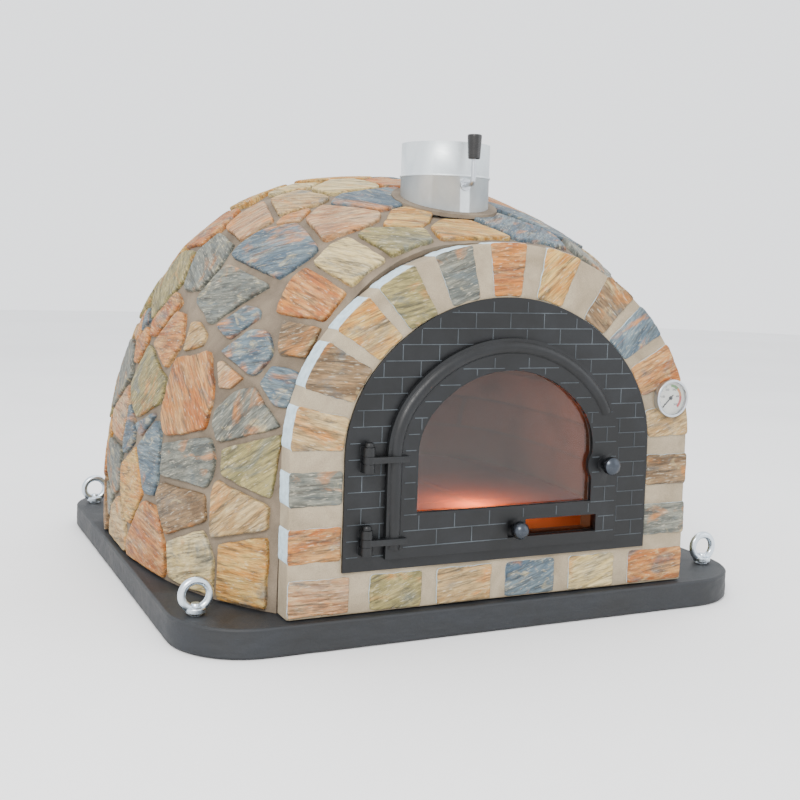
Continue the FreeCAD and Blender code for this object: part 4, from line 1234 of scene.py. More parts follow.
@dataclass
class FrontWall:
    """The front wall: sawn-edged stones round the iron frame and a row of sill stones."""

    face_y: float = -485 * MM
    back_y: float = -444 * MM
    heart: Vector = field(default_factory=lambda: Vector((0, -465 * MM, 279 * MM)))
    sunk: float = 2.6 * MM
    depth: float = 38 * MM
    trim: float = 1.8 * MM
    samples: int = 96
    rays: int = 720
    seed: int = 7
    arch: tuple[Tone, ...] = (
        Tone.RUST, Tone.SLATE, Tone.TAN, Tone.BROWN, Tone.GOLD, Tone.OLIVE, Tone.SLATE,
        Tone.RUST, Tone.GOLD, Tone.BROWN, Tone.BLUE, Tone.RUST, Tone.TAN, Tone.BROWN, Tone.SLATE)
    sill: tuple[Tone, ...] = (Tone.PINK, Tone.OLIVE, Tone.TAN, Tone.BLUE, Tone.CREAM, Tone.RUST)
    outer: list[float] = field(init=False)

    def outline(self, tree: BVHTree, middle: Vector, count: int) -> list[float]:
        """Radii from the middle of a flat piece to its edge, all round in the wall's plane.

        Args:
            tree: The piece.
            middle: Its middle.
            count: How many steps there are round it.

        Returns:
            The radii.
        """
        radii = []
        for i in range(count):
            turn = math.tau * i / count
            way = front_way(turn)
            spot, _, _, _ = tree.ray_cast(middle + way * 0.9, -way)
            radii.append((spot - middle).length if spot else radii[-1])
        return radii

    def stone(self, shape: Shape, points: list[Vector], faces: list[tuple[int, ...]], tone: Tone,
              dice: random.Random) -> None:
        """Adds one stone over a CAD solid of the wall.

        Args:
            shape: The mesh being gathered.
            points: The solid's points.
            faces: The solid's faces.
            tone: The stone's kind.
            dice: The wall's own dice.
        """
        tree = BVHTree.FromPolygons(points, faces)
        low = Vector([min(p[k] for p in points) for k in range(3)])
        high = Vector([max(p[k] for p in points) for k in range(3)])
        middle = sum(points, Vector()) / len(points)
        middle = (middle + (low + high) / 2) / 2
        middle.y = self.heart.y
        radii = self.outline(tree, middle, self.samples)
        start = Vector((dice.uniform(0, 50), dice.uniform(0, 50), 0))
        soft = []
        for i, radius in enumerate(radii):
            turn = math.tau * i / self.samples
            here = [radii[(i + k) % self.samples] for k in (-2, -1, 0, 1, 2)]
            edge = middle + front_way(turn) * radius
            outer = self.rim_gap(edge) < 6 * MM
            wave = noise.noise(start + Vector((math.cos(turn) * 2.4, math.sin(turn) * 2.4, 0)))
            tooth = noise.noise(start + Vector((math.cos(turn) * 8, math.sin(turn) * 8, 5)))
            trim = (0.2 if outer else 1.6) + (0.2 if outer else 1.5) * wave + 0.7 * tooth
            soft.append(0.5 * radius + 0.5 * min(radius, sum(here) / 5) - trim * MM)
        face = SplitFace(tone, math.radians(dice.gauss(8, 26)), dice.uniform(0, 40),
                         relief=dice.uniform(2.0, 3.6) * MM, rim=2.6 * MM, drop=2.2 * MM)
        tip = Vector((dice.uniform(-1, 1), dice.uniform(-1, 1))) * 0.01
        lift = dice.uniform(-0.6, 0.6) * MM

        def place(across: float, up: float) -> tuple[Vector, Vector]:
            """Finds a place on the stone's flat face.

            Args:
                across: Distance across it.
                up: Distance up it.

            Returns:
                The point and its outward direction.
            """
            out = lift + tip.x * across + tip.y * up
            return (Vector((middle.x + across, self.face_y - out, middle.z + up)),
                    Vector((0, -1, 0)))

        face.add_to(shape, soft, place, self.depth, sawn=1.0)

    def rim_gap(self, spot: Vector) -> float:
        """How far a place is inside the wall's outer edge.

        Args:
            spot: The place.

        Returns:
            The distance.
        """
        turn = math.atan2(spot.z - self.heart.z, spot.x - self.heart.x) % math.tau
        index = int(turn / math.tau * len(self.outer)) % len(self.outer)
        return self.outer[index] - (spot - self.heart).length

    def stones(self, material: bpy.types.Material) -> None:
        """Builds the arch stones and the sill stones.

        Args:
            material: The stones' material.
        """
        dice = random.Random(self.seed)
        for node, tones, key in (
                ("arch_stones", self.arch, lambda p: (math.degrees(math.atan2(
                    p.z - self.heart.z, -p.x)) + 90) % 360),
                ("sill_stones", self.sill, lambda p: p.x)):
            solids = sorted(islands(node), key=lambda s: key(sum(s[0], Vector()) / len(s[0])))
            shape = Shape()
            for number, (points, faces) in enumerate(solids):
                self.stone(shape, points, faces, tones[number % len(tones)], dice)
            dress(shape.build(node + "_look"), material, "oven", "wall_stone", node)

    def mortar(self, material: bpy.types.Material) -> None:
        """Builds the mortar as one ring from the outer edge to the frame.

        Args:
            material: The mortar's material.
        """
        count = self.rays
        nodes = ("arch_stones", "arch_mortar", "sill_stones", "sill_mortar")
        tree = tree_of(*nodes)
        inner = []
        for i in range(count):
            turn = math.tau * i / count
            way = front_way(turn)
            spot, _, _, _ = tree.ray_cast(self.heart, way)
            inner.append((spot - self.heart).length)
        outer = self.outline(tree, self.heart, count)

        def ring(share: float, y: float, rough: float) -> list[Vector]:
            """Makes one ring of the mortar.

            Args:
                share: 0 at the frame and 1 at the outer edge.
                y: Where the ring is.
                rough: How uneven it is.

            Returns:
                The points.
            """
            made = []
            for i in range(count):
                turn = math.tau * i / count
                radius = inner[i] + (outer[i] - self.trim - inner[i]) * share
                spot = Vector((math.cos(turn) * radius, y, self.heart.z + math.sin(turn) * radius))
                wave = noise_at(spot, (26, 26, 26)) * 1.0 + noise_at(spot, (90, 90, 90)) * 0.7
                spot.y -= wave * rough
                made.append(spot)
            return made

        front = self.face_y + self.sunk
        rings = [ring(0.0, self.back_y, 0), ring(0.0, front, 0)]
        rings += [ring(k / 20, front, 1.0 * MM) for k in range(1, 20)]
        rings += [ring(0.985, front + 0.2 * MM, 0.6 * MM),
                  ring(1.0, front + 1.6 * MM, 0.3 * MM)]
        rings += [ring(1.0, front + (self.back_y - front) * k / 6, 0)
                  for k in range(1, 7)]
        points, faces = loft([list(reversed(r)) for r in rings], joined=True)
        shape = Shape()
        shape.add(points, faces)
        dress(shape.build("wall_mortar", 60), material, "oven", "mortar", "arch_mortar",
              "sill_mortar")

    def build(self, stone: bpy.types.Material, mortar: bpy.types.Material) -> None:
        """Builds the stones and the mortar.

        Args:
            stone: The stone's material.
            mortar: The mortar's material.
        """
        self.outer = self.outline(tree_of("arch_stones", "arch_mortar", "sill_stones",
                                          "sill_mortar"), self.heart, self.rays)
        self.stones(stone)
        self.mortar(mortar)


class Nodes:
    """A geometry node tree with named inputs, run once on a mesh and turned into a plain mesh."""

    def __init__(self, name: str, inputs: Sequence[tuple[str, str, object]]) -> None:
        """Starts the tree.

        Args:
            name: The tree's name.
            inputs: For each input after the geometry, its name, socket kind and value.
        """
        self.tree = bpy.data.node_groups.new(name, "GeometryNodeTree")
        self.tree.interface.new_socket("Geometry", in_out="INPUT", socket_type="NodeSocketGeometry")
        self.values: dict[str, object] = {}
        for label, kind, value in inputs:
            made = self.tree.interface.new_socket(label, in_out="INPUT",
                                                  socket_type="NodeSocket" + kind)
            self.values[made.identifier] = value
        self.tree.interface.new_socket("Geometry", in_out="OUTPUT",
                                       socket_type="NodeSocketGeometry")
        self.start = self.tree.nodes.new("NodeGroupInput")
        self.end = self.tree.nodes.new("NodeGroupOutput")

    def add(self, kind: str, settings: dict[str, object] | None = None,
            **inputs: object) -> bpy.types.Node:
        """Adds a node, sets its own settings and feeds its inputs.

        Args:
            kind: The node's type.
            settings: Its own properties.
            **inputs: Input names, with underscores for spaces, and values or sockets.

        Returns:
            The node.
        """
        node = self.tree.nodes.new(kind)
        for key, value in (settings or {}).items():
            setattr(node, key, value)
        for key, value in inputs.items():
            socket = next(s for s in node.inputs if s.name == key.replace("_", " ") and s.enabled)
            self.feed(socket, value)
        return node

    def feed(self, socket: bpy.types.NodeSocket, value: object) -> None:
        """Links a socket to an input, or sets the input's own value.

        Args:
            socket: The input.
            value: An output socket, or a plain value.
        """
        if isinstance(value, bpy.types.NodeSocket):
            self.tree.links.new(value, socket)
        else:
            socket.default_value = value

    def math(self, how: str, first: object, second: object) -> bpy.types.NodeSocket:
        """One arithmetic step on two values.

        Args:
            how: The step's name.
            first: The first value.
            second: The second value.

        Returns:
            The result's socket.
        """
        node = self.tree.nodes.new("ShaderNodeMath")
        node.operation = how
        for socket, value in zip(node.inputs, (first, second)):
            self.feed(socket, value)
        return node.outputs[0]

    def close(self, geometry: bpy.types.NodeSocket) -> None:
        """Ends the tree with its instances made real and its material set.

        Args:
            geometry: What the tree has made.
        """
        real = self.add("GeometryNodeRealizeInstances", Geometry=geometry)
        paint = self.add("GeometryNodeSetMaterial", Geometry=real.outputs[0],
                         Material=self.start.outputs["Material"])
        self.tree.links.new(paint.outputs[0], self.end.inputs[0])

    def run(self, seed_mesh: bpy.types.Mesh, name: str, smooth_under: float) -> bpy.types.Object:
        """Runs the tree on a mesh.

        Args:
            seed_mesh: The mesh that the tree starts from.
            name: The made object's name.
            smooth_under: Edges that turn less than this many degrees are shaded smooth.

        Returns:
            A plain mesh object.
        """
        carrier = bpy.data.objects.new(name + "_seed", seed_mesh)
        bpy.context.scene.collection.objects.link(carrier)
        modifier = carrier.modifiers.new("nodes", "NODES")
        modifier.node_group = self.tree
        for identifier, value in self.values.items():
            modifier[identifier] = value
        carrier.update_tag()
        mesh = bpy.data.meshes.new_from_object(
            carrier.evaluated_get(bpy.context.evaluated_depsgraph_get()))
        bpy.data.objects.remove(carrier)
        return stand(mesh, name, smooth_under)


def rib_nodes(material: bpy.types.Material, radius: float) -> Nodes:
    """Nodes that turn edges into raised round ribs.

    Args:
        material: The ribs' material.
        radius: The ribs' radius.

    Returns:
        The nodes.
    """
    nodes = Nodes("ribs", (("Radius", "Float", radius), ("Sides", "Int", 8),
                           ("Material", "Material", material)))
    curve = nodes.add("GeometryNodeMeshToCurve", Mesh=nodes.start.outputs["Geometry"])
    ring = nodes.add("GeometryNodeCurvePrimitiveCircle", Radius=nodes.start.outputs["Radius"],
                     Resolution=nodes.start.outputs["Sides"])
    rib = nodes.add("GeometryNodeCurveToMesh", Curve=curve.outputs[0],
                    Profile_Curve=ring.outputs[0], Fill_Caps=True)
    nodes.close(rib.outputs[0])
    return nodes


def tick_nodes(material: bpy.types.Material, count: int, radius: float, length: float,
               width: float) -> Nodes:
    """Nodes that stand ticks round a dial that faces -Y.

    Args:
        material: The ticks' material.
        count: How many ticks.
        radius: The middle of the ticks from the dial's middle.
        length: Each tick's length.
        width: Each tick's width.

    Returns:
        The nodes.
    """
    nodes = Nodes("ticks", (("Count", "Int", count), ("Radius", "Float", radius),
                            ("Length", "Float", length), ("Width", "Float", width),
                            ("Start", "Float", math.radians(225)),
                            ("Sweep", "Float", math.radians(-270)),
                            ("Material", "Material", material)))
    ask = nodes.start.outputs
    index = nodes.add("GeometryNodeInputIndex").outputs[0]
    share = nodes.math("DIVIDE", index, nodes.math("SUBTRACT", ask["Count"], 1.0))
    turn = nodes.math("ADD", ask["Start"], nodes.math("MULTIPLY", share, ask["Sweep"]))
    place = nodes.add("ShaderNodeCombineXYZ",
                      X=nodes.math("MULTIPLY", ask["Radius"], nodes.math("COSINE", turn, 0.0)),
                      Z=nodes.math("MULTIPLY", ask["Radius"], nodes.math("SINE", turn, 0.0)))
    spin = nodes.add("ShaderNodeCombineXYZ", Y=nodes.math("MULTIPLY", turn, -1.0))
    size = nodes.add("ShaderNodeCombineXYZ", X=ask["Length"], Y=0.15 * MM, Z=ask["Width"])
    tick = nodes.add("GeometryNodeMeshCube", Size=size.outputs[0])
    line = nodes.add("GeometryNodeMeshLine", Count=ask["Count"])
    spots = nodes.add("GeometryNodeSetPosition", Geometry=line.outputs[0],
                      Position=place.outputs[0])
    ticks = nodes.add("GeometryNodeInstanceOnPoints", Points=spots.outputs[0],
                      Instance=tick.outputs[0], Rotation=spin.outputs[0])
    nodes.close(ticks.outputs[0])
    return nodes


def ring_of(middle: Vector, axis: Vector, radius: float, count: int) -> list[Vector]:
    """Points round a circle, anticlockwise seen from where the axis points.

    Args:
        middle: The middle.
        axis: The axis.
        radius: The radius.
        count: How many points.

    Returns:
        The points.
    """
    side = axis.orthogonal().normalized()
    other = axis.normalized().cross(side)
    return [middle + side * (math.cos(math.tau * i / count) * radius)
            + other * (math.sin(math.tau * i / count) * radius) for i in range(count)]


@dataclass
class IronWork:
    """The cast frame and door: brick joints in relief, rims and the hinge."""

    iron: bpy.types.Material
    joint: bpy.types.Material
    course: float = 24.0 * MM
    brick: float = 60.0 * MM
    rib: float = 0.85 * MM
    low: float = 132.0 * MM
    step: float = 1.0 * MM
    hinge_pitch: float = 122.0 * MM
    frame_y: float = -487 * MM
    leaf_y: float = -496 * MM

    def joints(self, node: str, face_y: float, low: float, high: float, half: float,
               name: str, margin: float) -> None:
        """Raises brick joints over a flat iron face.

        Args:
            node: The CAD node that has the face.
            face_y: The face's Y.
            low: The lowest course's Z.
            high: The highest Z.
            half: Half the width searched.
            name: The made object's name.
            margin: How far the ribs keep from the face's edges.
        """
        tree = tree_of(node)
        ahead = Vector((0, 1, 0))

        def on_face(x: float, z: float) -> bool:
            """Whether a place and its margin are all on the flat face.

            Args:
                x: Its X.
                z: Its Z.

            Returns:
                True if they are.
            """
            for dx, dz in ((0, 0), (margin, 0), (-margin, 0), (0, margin), (0, -margin)):
                spot = tree.ray_cast(Vector((x + dx, face_y - 0.1, z + dz)), ahead)[0]
                if spot is None or abs(spot.y - face_y) > 0.25 * MM:
                    return False
            return True

        mesh = bmesh.new()

        def runs(spots: Sequence[tuple[float, float]]) -> None:
            """Draws a line wherever neighbouring spots are on the face.

            Args:
                spots: X and Z of each spot in turn.
            """
            last = None
            for x, z in spots:
                here = None
                if on_face(x, z):
                    here = mesh.verts.new((x, face_y + 0.15 * MM, z))
                    if last is not None:
                        mesh.edges.new((last, here))
                last = here

        rows = int((high - low) / self.course)
        for row in range(rows + 1):
            z = low + row * self.course
            steps = int(2 * half / self.step)
            runs([(-half + k * self.step, z) for k in range(steps + 1)])
            shift = self.brick / 2 if row % 2 else 0.0
            for k in range(-6, 7):
                x = k * self.brick + shift
                if abs(x) < half:
                    tall = int(self.course / self.step)
                    runs([(x, z + m * self.step) for m in range(tall + 1)])
        bmesh.ops.dissolve_limit(mesh, angle_limit=math.radians(1), verts=mesh.verts,
                                 edges=mesh.edges)
        loose = [v for v in mesh.verts if not v.link_edges]
        bmesh.ops.delete(mesh, geom=loose, context="VERTS")
        seed_mesh = bpy.data.meshes.new(name + "_lines")
        mesh.to_mesh(seed_mesh)
        mesh.free()
        piece = rib_nodes(self.joint, self.rib).run(seed_mesh, name, 50)
        dress(piece, self.joint, BODY_OF[node], SLOT_OF[node])

    def caps(self) -> None:
        """Domes the heads of the hinge pins."""
        low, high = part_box("hinge_pins")
        middle = (low + high) / 2
        shape = Shape()
        for top in (high.z, high.z - self.hinge_pitch):
            base = Vector((middle.x, middle.y, top))
            rings = [ring_of(base + Vector((0, 0, z)) * MM, Vector((0, 0, 1)), r * MM, 40)
                     for r, z in ((6.6, -1.5), (6.9, -0.2), (6.7, 1.2), (6.0, 2.6), (4.8, 3.8),
                                  (3.2, 4.6), (1.5, 5.0))]
            shape.add(*loft(rings))
        dress(shape.build("hinge_caps"), self.iron, "oven", SLOT_OF["hinge_pins"])

    def build(self) -> None:
        """Builds the iron."""
        restyle("door_frame", self.iron, 0.9)
        restyle("door_leaf", self.iron, 0.7)
        restyle("hinge_pins", self.iron, 0.5)
        self.caps()
        self.joints("door_frame", self.frame_y, self.low, 520 * MM, 268 * MM, "frame_joints", 5 * MM)
        self.joints("door_leaf", self.leaf_y, self.low + 12 * MM, 460 * MM, 205 * MM, "leaf_joints",
                    4 * MM)


@dataclass
class LiftingEyes:
    """Four plated eye bolts near the slab's corners."""

    metal: bpy.types.Material
    half_x: float = 461 * MM
    half_y: float = 403 * MM
    seat_z: float = 48 * MM
    ring: float = 21 * MM
    bar: float = 6 * MM
    ring_z: float = 74 * MM
    ring_steps: int = 72
    bar_steps: int = 24
    collar_steps: int = 48

    def pattern(self) -> bpy.types.Object:
        """One eye bolt with its collar's underside at the origin.

        Returns:
            The bolt.
        """
        shape = Shape()
        profile = ((13.6, 0.0), (15.0, 0.8), (15.0, 6.4), (14.0, 7.8), (11.6, 8.4), (9.0, 9.4),
                   (7.2, 11.2), (6.2, 13.6))
        rings = [ring_of(Vector((0, 0, z)) * MM, Vector((0, 0, 1)), r * MM, self.collar_steps)
                 for r, z in profile]
        shape.add(*loft(rings))
        hub = Vector((0, 0, self.ring_z - self.seat_z))
        loops = []
        for i in range(self.ring_steps):
            turn = math.tau * i / self.ring_steps
            way = front_way(turn)
            along = Vector((-math.sin(turn), 0, math.cos(turn)))
            thick = self.bar * (1.0 + 0.16 * max(0.0, -math.sin(turn)) ** 4)
            loops.append(ring_of(hub + way * self.ring, along, thick, self.bar_steps))
        shape.add(*self.aligned(loops))
        return shape.build("eye_pattern")

    def aligned(self, loops: list[list[Vector]]) -> tuple[list[Vector], list[tuple]]:
        """Turns each loop so that it starts at its place nearest the last loop's start.

        Args:
            loops: The loops.

        Returns:
            The points and faces of their skin.
        """
        for k in range(1, len(loops)):
            first = loops[k - 1][0]
            best = min(range(len(loops[k])), key=lambda i: (loops[k][i] - first).length)
            loops[k] = loops[k][best:] + loops[k][:best]
        return loft(loops, joined=True)

    def build(self) -> None:
        """Stands the bolts with nodes and drops the pattern."""
        pattern = self.pattern()
        nodes = Nodes("eye_bolts", (("Pattern", "Object", pattern),
                                    ("Turn", "Vector", (0.0, 0.0, 0.0)),
                                    ("Material", "Material", self.metal)))
        info = nodes.add("GeometryNodeObjectInfo", {"transform_space": "ORIGINAL"},
                         Object=nodes.start.outputs["Pattern"])
        placed = nodes.add("GeometryNodeInstanceOnPoints", Points=nodes.start.outputs["Geometry"],
                           Instance=info.outputs["Geometry"], Rotation=nodes.start.outputs["Turn"])
        nodes.close(placed.outputs[0])
        spots = bpy.data.meshes.new("eye_spots")
        spots.from_pydata([(x * self.half_x, y * self.half_y, self.seat_z)
                           for x in (-1, 1) for y in (-1, 1)], [], [])
        piece = nodes.run(spots, "eye_bolts", 35)
        bpy.data.objects.remove(pattern)
        dress(piece, self.metal, "oven", SLOT_OF["lift_eyes"], "lift_eyes")


@dataclass
class Slab:
    """The cast slab with a hand-brushed edge."""

    material: bpy.types.Material
    count: int = 900
    round_off: float = 5.0 * MM

    def build(self) -> None:
        """Builds the slab from its plan outline."""
        low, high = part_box("base_slab")
        middle = (low + high) / 2
        tree = tree_of("base_slab")
        reach = []
        for i in range(self.count):
            turn = math.tau * i / self.count
            way = Vector((math.cos(turn), math.sin(turn), 0))
            spot = tree.ray_cast(middle + way, -way)[0]
            reach.append((spot - middle).length)

        def ring(inset: float, z: float, rough: float) -> list[Vector]:
            """Makes one ring of the slab's outline.

            Args:
                inset: How far in it is.
                z: Its height.
                rough: How uneven it is.

            Returns:
                The points.
            """
            made = []
            for i, radius in enumerate(reach):
                turn = math.tau * i / self.count
                way = Vector((math.cos(turn), math.sin(turn), 0))
                spot = middle + way * (radius - inset)
                spot.z = z
                wave = (noise_at(spot, (9, 9, 30)) + 0.9 * noise_at(spot, (30, 30, 90))
                        + 0.7 * noise_at(spot, (85, 85, 190)))
                dent = min(0.0, wave * rough - rough)
                made.append(spot + way * dent)
            return made

        r, top = self.round_off, high.z
        rings = [ring(r * 1.2, low.z, 0.3 * MM), ring(0.6 * r, low.z + 0.2 * r, 0.5 * MM),
                 ring(0.3 * MM, low.z + 0.8 * r, 0.8 * MM)]
        steps = 12
        rings += [ring(0.2 * MM, low.z + r + (top - low.z - 2 * r) * k / steps, 0.9 * MM)
                  for k in range(steps + 1)]
        for k in range(1, 6):
            turn = math.pi / 2 * k / 5
            rings.append(ring(r * (1 - math.cos(turn)), top - r * (1 - math.sin(turn)) - 0.1 * MM,
                              0.5 * MM))
        rings += [self.settle(ring(d * MM, top - 0.3 * MM, 0.0)) for d in (
            9, 14, 20, 28, 38, 50, 64, 80, 100, 130, 180, 260)]
        shape = Shape()
        shape.add(*loft(rings))
        dress(shape.build("slab_look", 50), self.material, "oven", SLOT_OF["base_slab"],
              "base_slab")

    def settle(self, ring: list[Vector]) -> list[Vector]:
        """Gives the slab's top its gentle unevenness.

        Args:
            ring: The ring to settle.

        Returns:
            The same ring.
        """
        for spot in ring:
            spot.z += 0.25 * MM * (noise_at(spot, (40, 40, 40)) - 1.0)
        return ring


@dataclass
class Gauge:
    """The dial's printed ticks, numerals and coloured bands."""

    ink: bpy.types.Material
    bands: bpy.types.Material
    middle: Vector = field(default_factory=lambda: Vector((306, -490.1, 355)) * MM)
    radius: float = 24 * MM

    def set_in(self, piece: bpy.types.Object) -> bpy.types.Object:
        """Moves a piece made round the origin onto the dial, in its mesh."""
        piece.data.transform(Matrix.Translation(self.middle))
        return piece

    def ticks(self) -> None:
        """Prints the long and the short ticks."""
        for count, length, width, name in ((11, 3.6, 0.55, "long"), (51, 1.8, 0.26, "short")):
            nodes = tick_nodes(self.ink, count, self.radius - length * MM / 2 - 1 * MM,
                               length * MM, width * MM)
            piece = nodes.run(bpy.data.meshes.new("tick_seed"), "dial_ticks_" + name, 30)
            dress(self.set_in(piece), self.ink, "oven", SLOT_OF["thermometer_dial"])

    def numerals(self) -> None:
        """Prints a plain numeral inside every other long tick."""
        shape = Shape()
        for step in range(0, 11, 2):
            turn = math.radians(225 - 27 * step)
            curve = bpy.data.curves.new("numeral", "FONT")
            curve.body, curve.size = str(step * 50), 5.2 * MM
            curve.align_x, curve.align_y, curve.extrude = "CENTER", "CENTER", 0.07 * MM
            carrier = bpy.data.objects.new("numeral", curve)
            bpy.context.scene.collection.objects.link(carrier)
            flat = bpy.data.meshes.new_from_object(
                carrier.evaluated_get(bpy.context.evaluated_depsgraph_get()))
            bpy.data.objects.remove(carrier)
            flat.transform(Matrix.Rotation(math.pi / 2, 4, "X"))
            spot = front_way(turn) * 15.2 * MM
            shape.add([v.co + spot for v in flat.vertices],
                      [tuple(p.vertices) for p in flat.polygons])
        dress(self.set_in(shape.build("dial_numerals", 30)), self.ink, "oven",
              SLOT_OF["thermometer_dial"])

    def band(self) -> None:
        """Prints the green, orange and red bands along the dial's right side."""
        shape = Shape()
        for start, stop, colour in ((88, 48, tint(90, 150, 70)), (48, 8, tint(232, 140, 40)),
                                    (8, -45, tint(206, 40, 34))):
            rings = []
            for k in range(25):
                turn = math.radians(start + (stop - start) * k / 24)
                way = front_way(turn)
                edge = [(self.radius - 5.8 * MM, 0.05 * MM), (self.radius - 5.8 * MM, -0.12 * MM),
                        (self.radius - 1.6 * MM, -0.12 * MM), (self.radius - 1.6 * MM, 0.05 * MM)]
                rings.append([way * r + Vector((0, y, 0)) for r, y in edge])
            points, faces = loft(rings)
            shape.add(points, faces, main=[colour] * len(points))
        dress(self.set_in(shape.build("dial_bands", 30)), self.bands, "oven",
              SLOT_OF["thermometer_dial"])

    def build(self) -> None:
        """Prints the dial."""
        self.ticks()
        self.numerals()
        self.band()


@dataclass(frozen=True)
class PrintedBand:
    """Printing ink whose colour comes from the mesh."""

    name: str = "printed_band"

    def build(self) -> bpy.types.Material:
        """Makes the material.

        Returns:
            The material.
        """
        s = Shade(self.name)
        main = s.attribute("main").outputs["Color"]
        fade = s.grain(s.coords(), 300.0, 3.0)
        colour = s.blend(s.spread(fade, 0.3, 0.7, 0.0, 0.15), main, tint(240, 236, 226))
        return s.finish(Base_Color=colour, Roughness=0.45)


@dataclass
class Studio:
    """A plain pale floor, soft light all round, and the camera."""

    lens: float = 52.18
    drop: float = -0.075
    azimuth: float = -24.96
    elevation: float = 3.99
    roll: float = 1.80
    away: float = 2.23577
    target: Vector = field(default_factory=lambda: Vector((0.04078, 0, 0.41338)))

    def floor(self) -> None:
        """Lays the floor."""
        shape = Shape()
        rings = [ring_of(Vector((0, 0, z)), Vector((0, 0, 1)), r, 96)
                 for r, z in ((9.0, -0.012), (9.0, -0.0005), (3.0, -0.0005), (1.0, -0.0005))]
        shape.add(*loft(rings))
        floor = shape.build("floor")
        floor.data.materials.append(Mottled("studio_floor", tint(236, 236, 236),
                                            tint(241, 241, 241), 0.85, 1.2, 60.0, 0.02).build())

    def lamp(self, name: str, place: Vector, aim: Vector, size: float, power: float,
             colour: tuple[float, float, float]) -> None:
        """Hangs a square soft lamp.

        Args:
            name: The lamp's name.
            place: Where it hangs.
            aim: What it faces.
            size: Its width.
            power: Its power in watts.
            colour: Its colour.
        """
        light = bpy.data.lights.new(name, "AREA")
        light.size, light.energy, light.color = size, power, colour
        lamp = bpy.data.objects.new(name, light)
        lamp.location = place
        lamp.rotation_euler = (aim - place).to_track_quat("-Z", "Y").to_euler()
        bpy.context.scene.collection.objects.link(lamp)

    def glow(self) -> None:
        """Lights the chamber with embers low on the left."""
        light = bpy.data.lights.new("embers", "POINT")
        light.energy, light.color, light.shadow_soft_size = 3.2, (1.0, 0.40, 0.16), 0.05
        lamp = bpy.data.objects.new("embers", light)
        lamp.location = (0.10, -0.20, 0.165)
        lamp.visible_camera = lamp.visible_transmission = lamp.visible_glossy = False
        bpy.context.scene.collection.objects.link(lamp)

    def camera(self) -> None:
        """Stands the camera."""
        a, e, r = (math.radians(v) for v in (self.azimuth, self.elevation, self.roll))
        back = Vector((math.sin(a) * math.cos(e), -math.cos(a) * math.cos(e), math.sin(e)))
        right = Vector((math.cos(a), math.sin(a), 0))
        up = back.cross(right)
        x = right * math.cos(r) + up * math.sin(r)
        y = up * math.cos(r) - right * math.sin(r)
        data = bpy.data.cameras.new("camera")
        data.lens, data.sensor_width, data.shift_y = self.lens, 36.0, self.drop
        data.clip_start, data.clip_end = 0.05, 50.0
        eye = bpy.data.objects.new("camera", data)
        turn = Matrix((x, y, back)).transposed().to_4x4()
        eye.matrix_world = Matrix.Translation(self.target + back * self.away) @ turn
        bpy.context.scene.collection.objects.link(eye)
        bpy.context.scene.camera = eye

    def build(self) -> None:
        """Sets up the floor, light and camera."""
        world = bpy.data.worlds.new("studio")
        world.use_nodes = True
        back = world.node_tree.nodes["Background"]
        back.inputs["Color"].default_value = (0.95, 0.97, 1.0, 1.0)
        back.inputs["Strength"].default_value = 2.0
        bpy.context.scene.world = world
        middle = Vector((0, 0, 0.3))
        self.lamp("key", Vector((-1.9, -2.8, 2.4)), middle, 1.0, 135, (1.0, 0.97, 0.93))
        self.lamp("fill", Vector((2.6, -2.2, 1.6)), middle, 2.4, 26, (0.95, 0.97, 1.0))
        self.lamp("top", Vector((0.2, 0.6, 3.2)), middle, 2.4, 36, (1.0, 1.0, 1.0))
        self.floor()
        self.glow()
        self.camera()


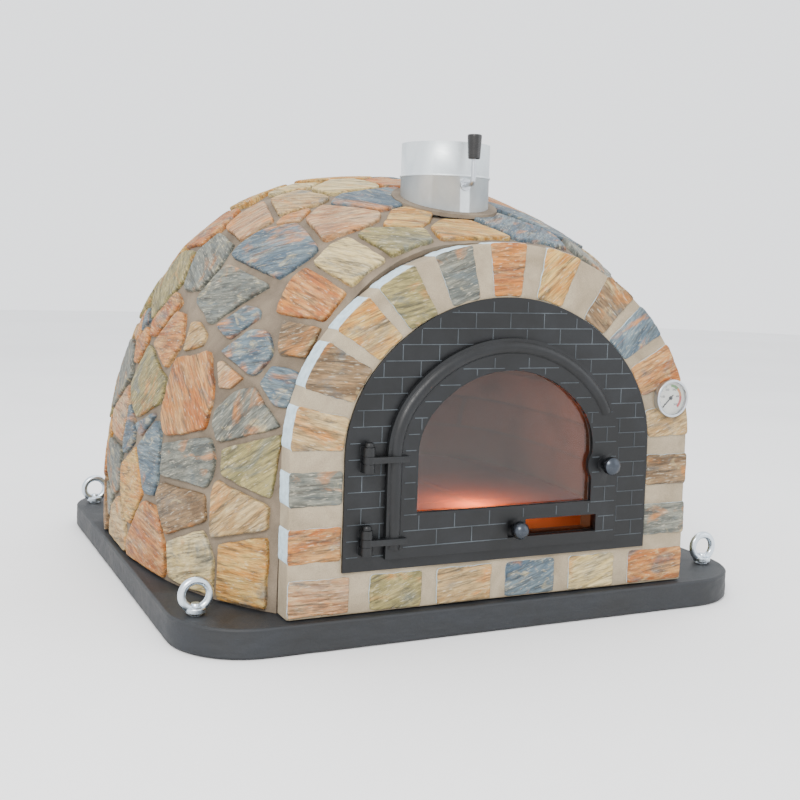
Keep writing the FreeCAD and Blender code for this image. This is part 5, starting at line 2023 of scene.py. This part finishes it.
@dataclass
class Oven:
    """The whole oven's looks."""

    def metals(self) -> None:
        """Restyles the metal parts."""
        iron = CastIron("door_iron", tint(9, 10, 11), tint(40, 43, 48), 0.3, 0.4).build()
        # The raised brick joints are painted a lighter grey all over than the door iron.
        joint = CastIron("joint_iron", tint(48, 53, 57), tint(96, 104, 110), 0.6).build()
        knob = BrightMetal("knob_steel", tint(70, 74, 80), 0.24, (40, 500, 500)).build()
        IronWork(iron, joint).build()
        for node in ("latch_knob", "shutter_knob", "latch_spindle", "latch_nut"):
            restyle(node, knob, 0.0, 50)
        for node in ("latch_tongue", "air_shutter", "shutter_rails", "rail_screws", "glass_clips",
                     "clip_screws", "frame_anchors"):
            restyle(node, iron, 0.3)
        zinc = BrightMetal("zinc", tint(206, 216, 224), 0.26, (300, 300, 300), 0.2).build()
        LiftingEyes(zinc).build()
        restyle("lift_sockets", zinc, 0.0)
        pipe = Galvanised("flue_steel").build()
        restyle("flue_pipe", pipe, 0.0, 30)
        steel = BrightMetal("rod_steel", tint(196, 200, 204), 0.28, (300, 300, 300)).build()
        for node in ("damper_rod", "damper_disc", "damper_studs", "damper_bushes",
                     "thermometer_case", "thermometer_bezel", "thermometer_probe"):
            restyle(node, steel, 0.25, 40)
        grip = Mottled("bakelite", tint(16, 15, 15), tint(30, 28, 27), 0.28, 40, 500, 0.05).build()
        restyle("damper_grip", grip, 0.0, 40)

    def dial(self) -> None:
        """Restyles the thermometer's face."""
        face = Mottled("dial_enamel", tint(238, 237, 230), tint(230, 228, 220), 0.4, 60, 600, 0.02)
        restyle("thermometer_dial", face.build(), 0.0)
        ink = Mottled("dial_ink", tint(24, 26, 30), tint(44, 46, 50), 0.5, 200, 900, 0.02).build()
        restyle("thermometer_needle", ink, 0.0)
        Gauge(ink, PrintedBand().build()).build()
        restyle("thermometer_lens", StoveGlass("lens_glass", (0.98, 0.99, 0.99, 1.0)).build(), 0.0)

    def glazing(self) -> None:
        """Restyles the door's glass, seal and rope."""
        glass = StoveGlass("stove_glass", (0.50, 0.44, 0.39, 1.0), 0.03).build()
        restyle("door_glass", glass, 0.0)
        rope = Mottled("rope", tint(70, 68, 66), tint(104, 100, 96), 0.95, 90, 900, 0.8).build()
        for node in ("door_rope", "glass_seal"):
            restyle(node, rope, 0.0)

    def masonry(self) -> None:
        """Builds the stonework and restyles what is inside it."""
        stone = SplitStone().build()
        bed = Mortar("dome_mortar", tint(96, 84, 70), tint(128, 114, 96)).build()
        # The front wall's mortar is the dome's mortar made lighter: partly its own sandier colour,
        # partly painted light for the brightly lit front.
        front_mortar_with_painted_light = Mortar("wall_mortar", tint(134, 120, 98), tint(166, 152, 128)).build()
        DomeCladding().build(stone, bed)
        FrontWall().build(stone, front_mortar_with_painted_light)
        Slab(DarkSlab().build()).build()
        restyle("flue_collar", bed, 0.6, 40)
        brick = FireBrick("chamber_brick", tint(128, 104, 88), tint(104, 92, 82), 0.7).build()
        tile = FireBrick("fire_tile", tint(204, 132, 84), tint(160, 120, 90), 0.3).build()
        for node in ("refractory_dome", "mouth_arch"):
            restyle(node, brick, 0.8)
        restyle("floor_tiles", tile, 0.6)
        board = Mottled("board", tint(226, 220, 206), tint(208, 200, 184), 0.95, 30, 500, 0.5)
        wool = Mottled("blanket", tint(228, 228, 224), tint(204, 206, 204), 0.98, 40, 300, 2.0)
        coat = Mottled("render_coat", tint(188, 182, 172), tint(164, 158, 148), 0.95, 25, 400, 0.6)
        for node, finish in (("floor_board", board), ("insulation_blanket", wool),
                             ("render_coat", coat)):
            restyle(node, finish.build(), 0.0)

    def build(self) -> None:
        """Builds everything."""
        self.masonry()
        self.metals()
        self.dial()
        self.glazing()


def main() -> None:
    """Builds the oven and the studio."""
    logging.basicConfig(level=logging.INFO, format="%(name)s %(message)s")
    Oven().build()
    Studio().build()
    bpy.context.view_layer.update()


if __name__ == "__main__":
    main()
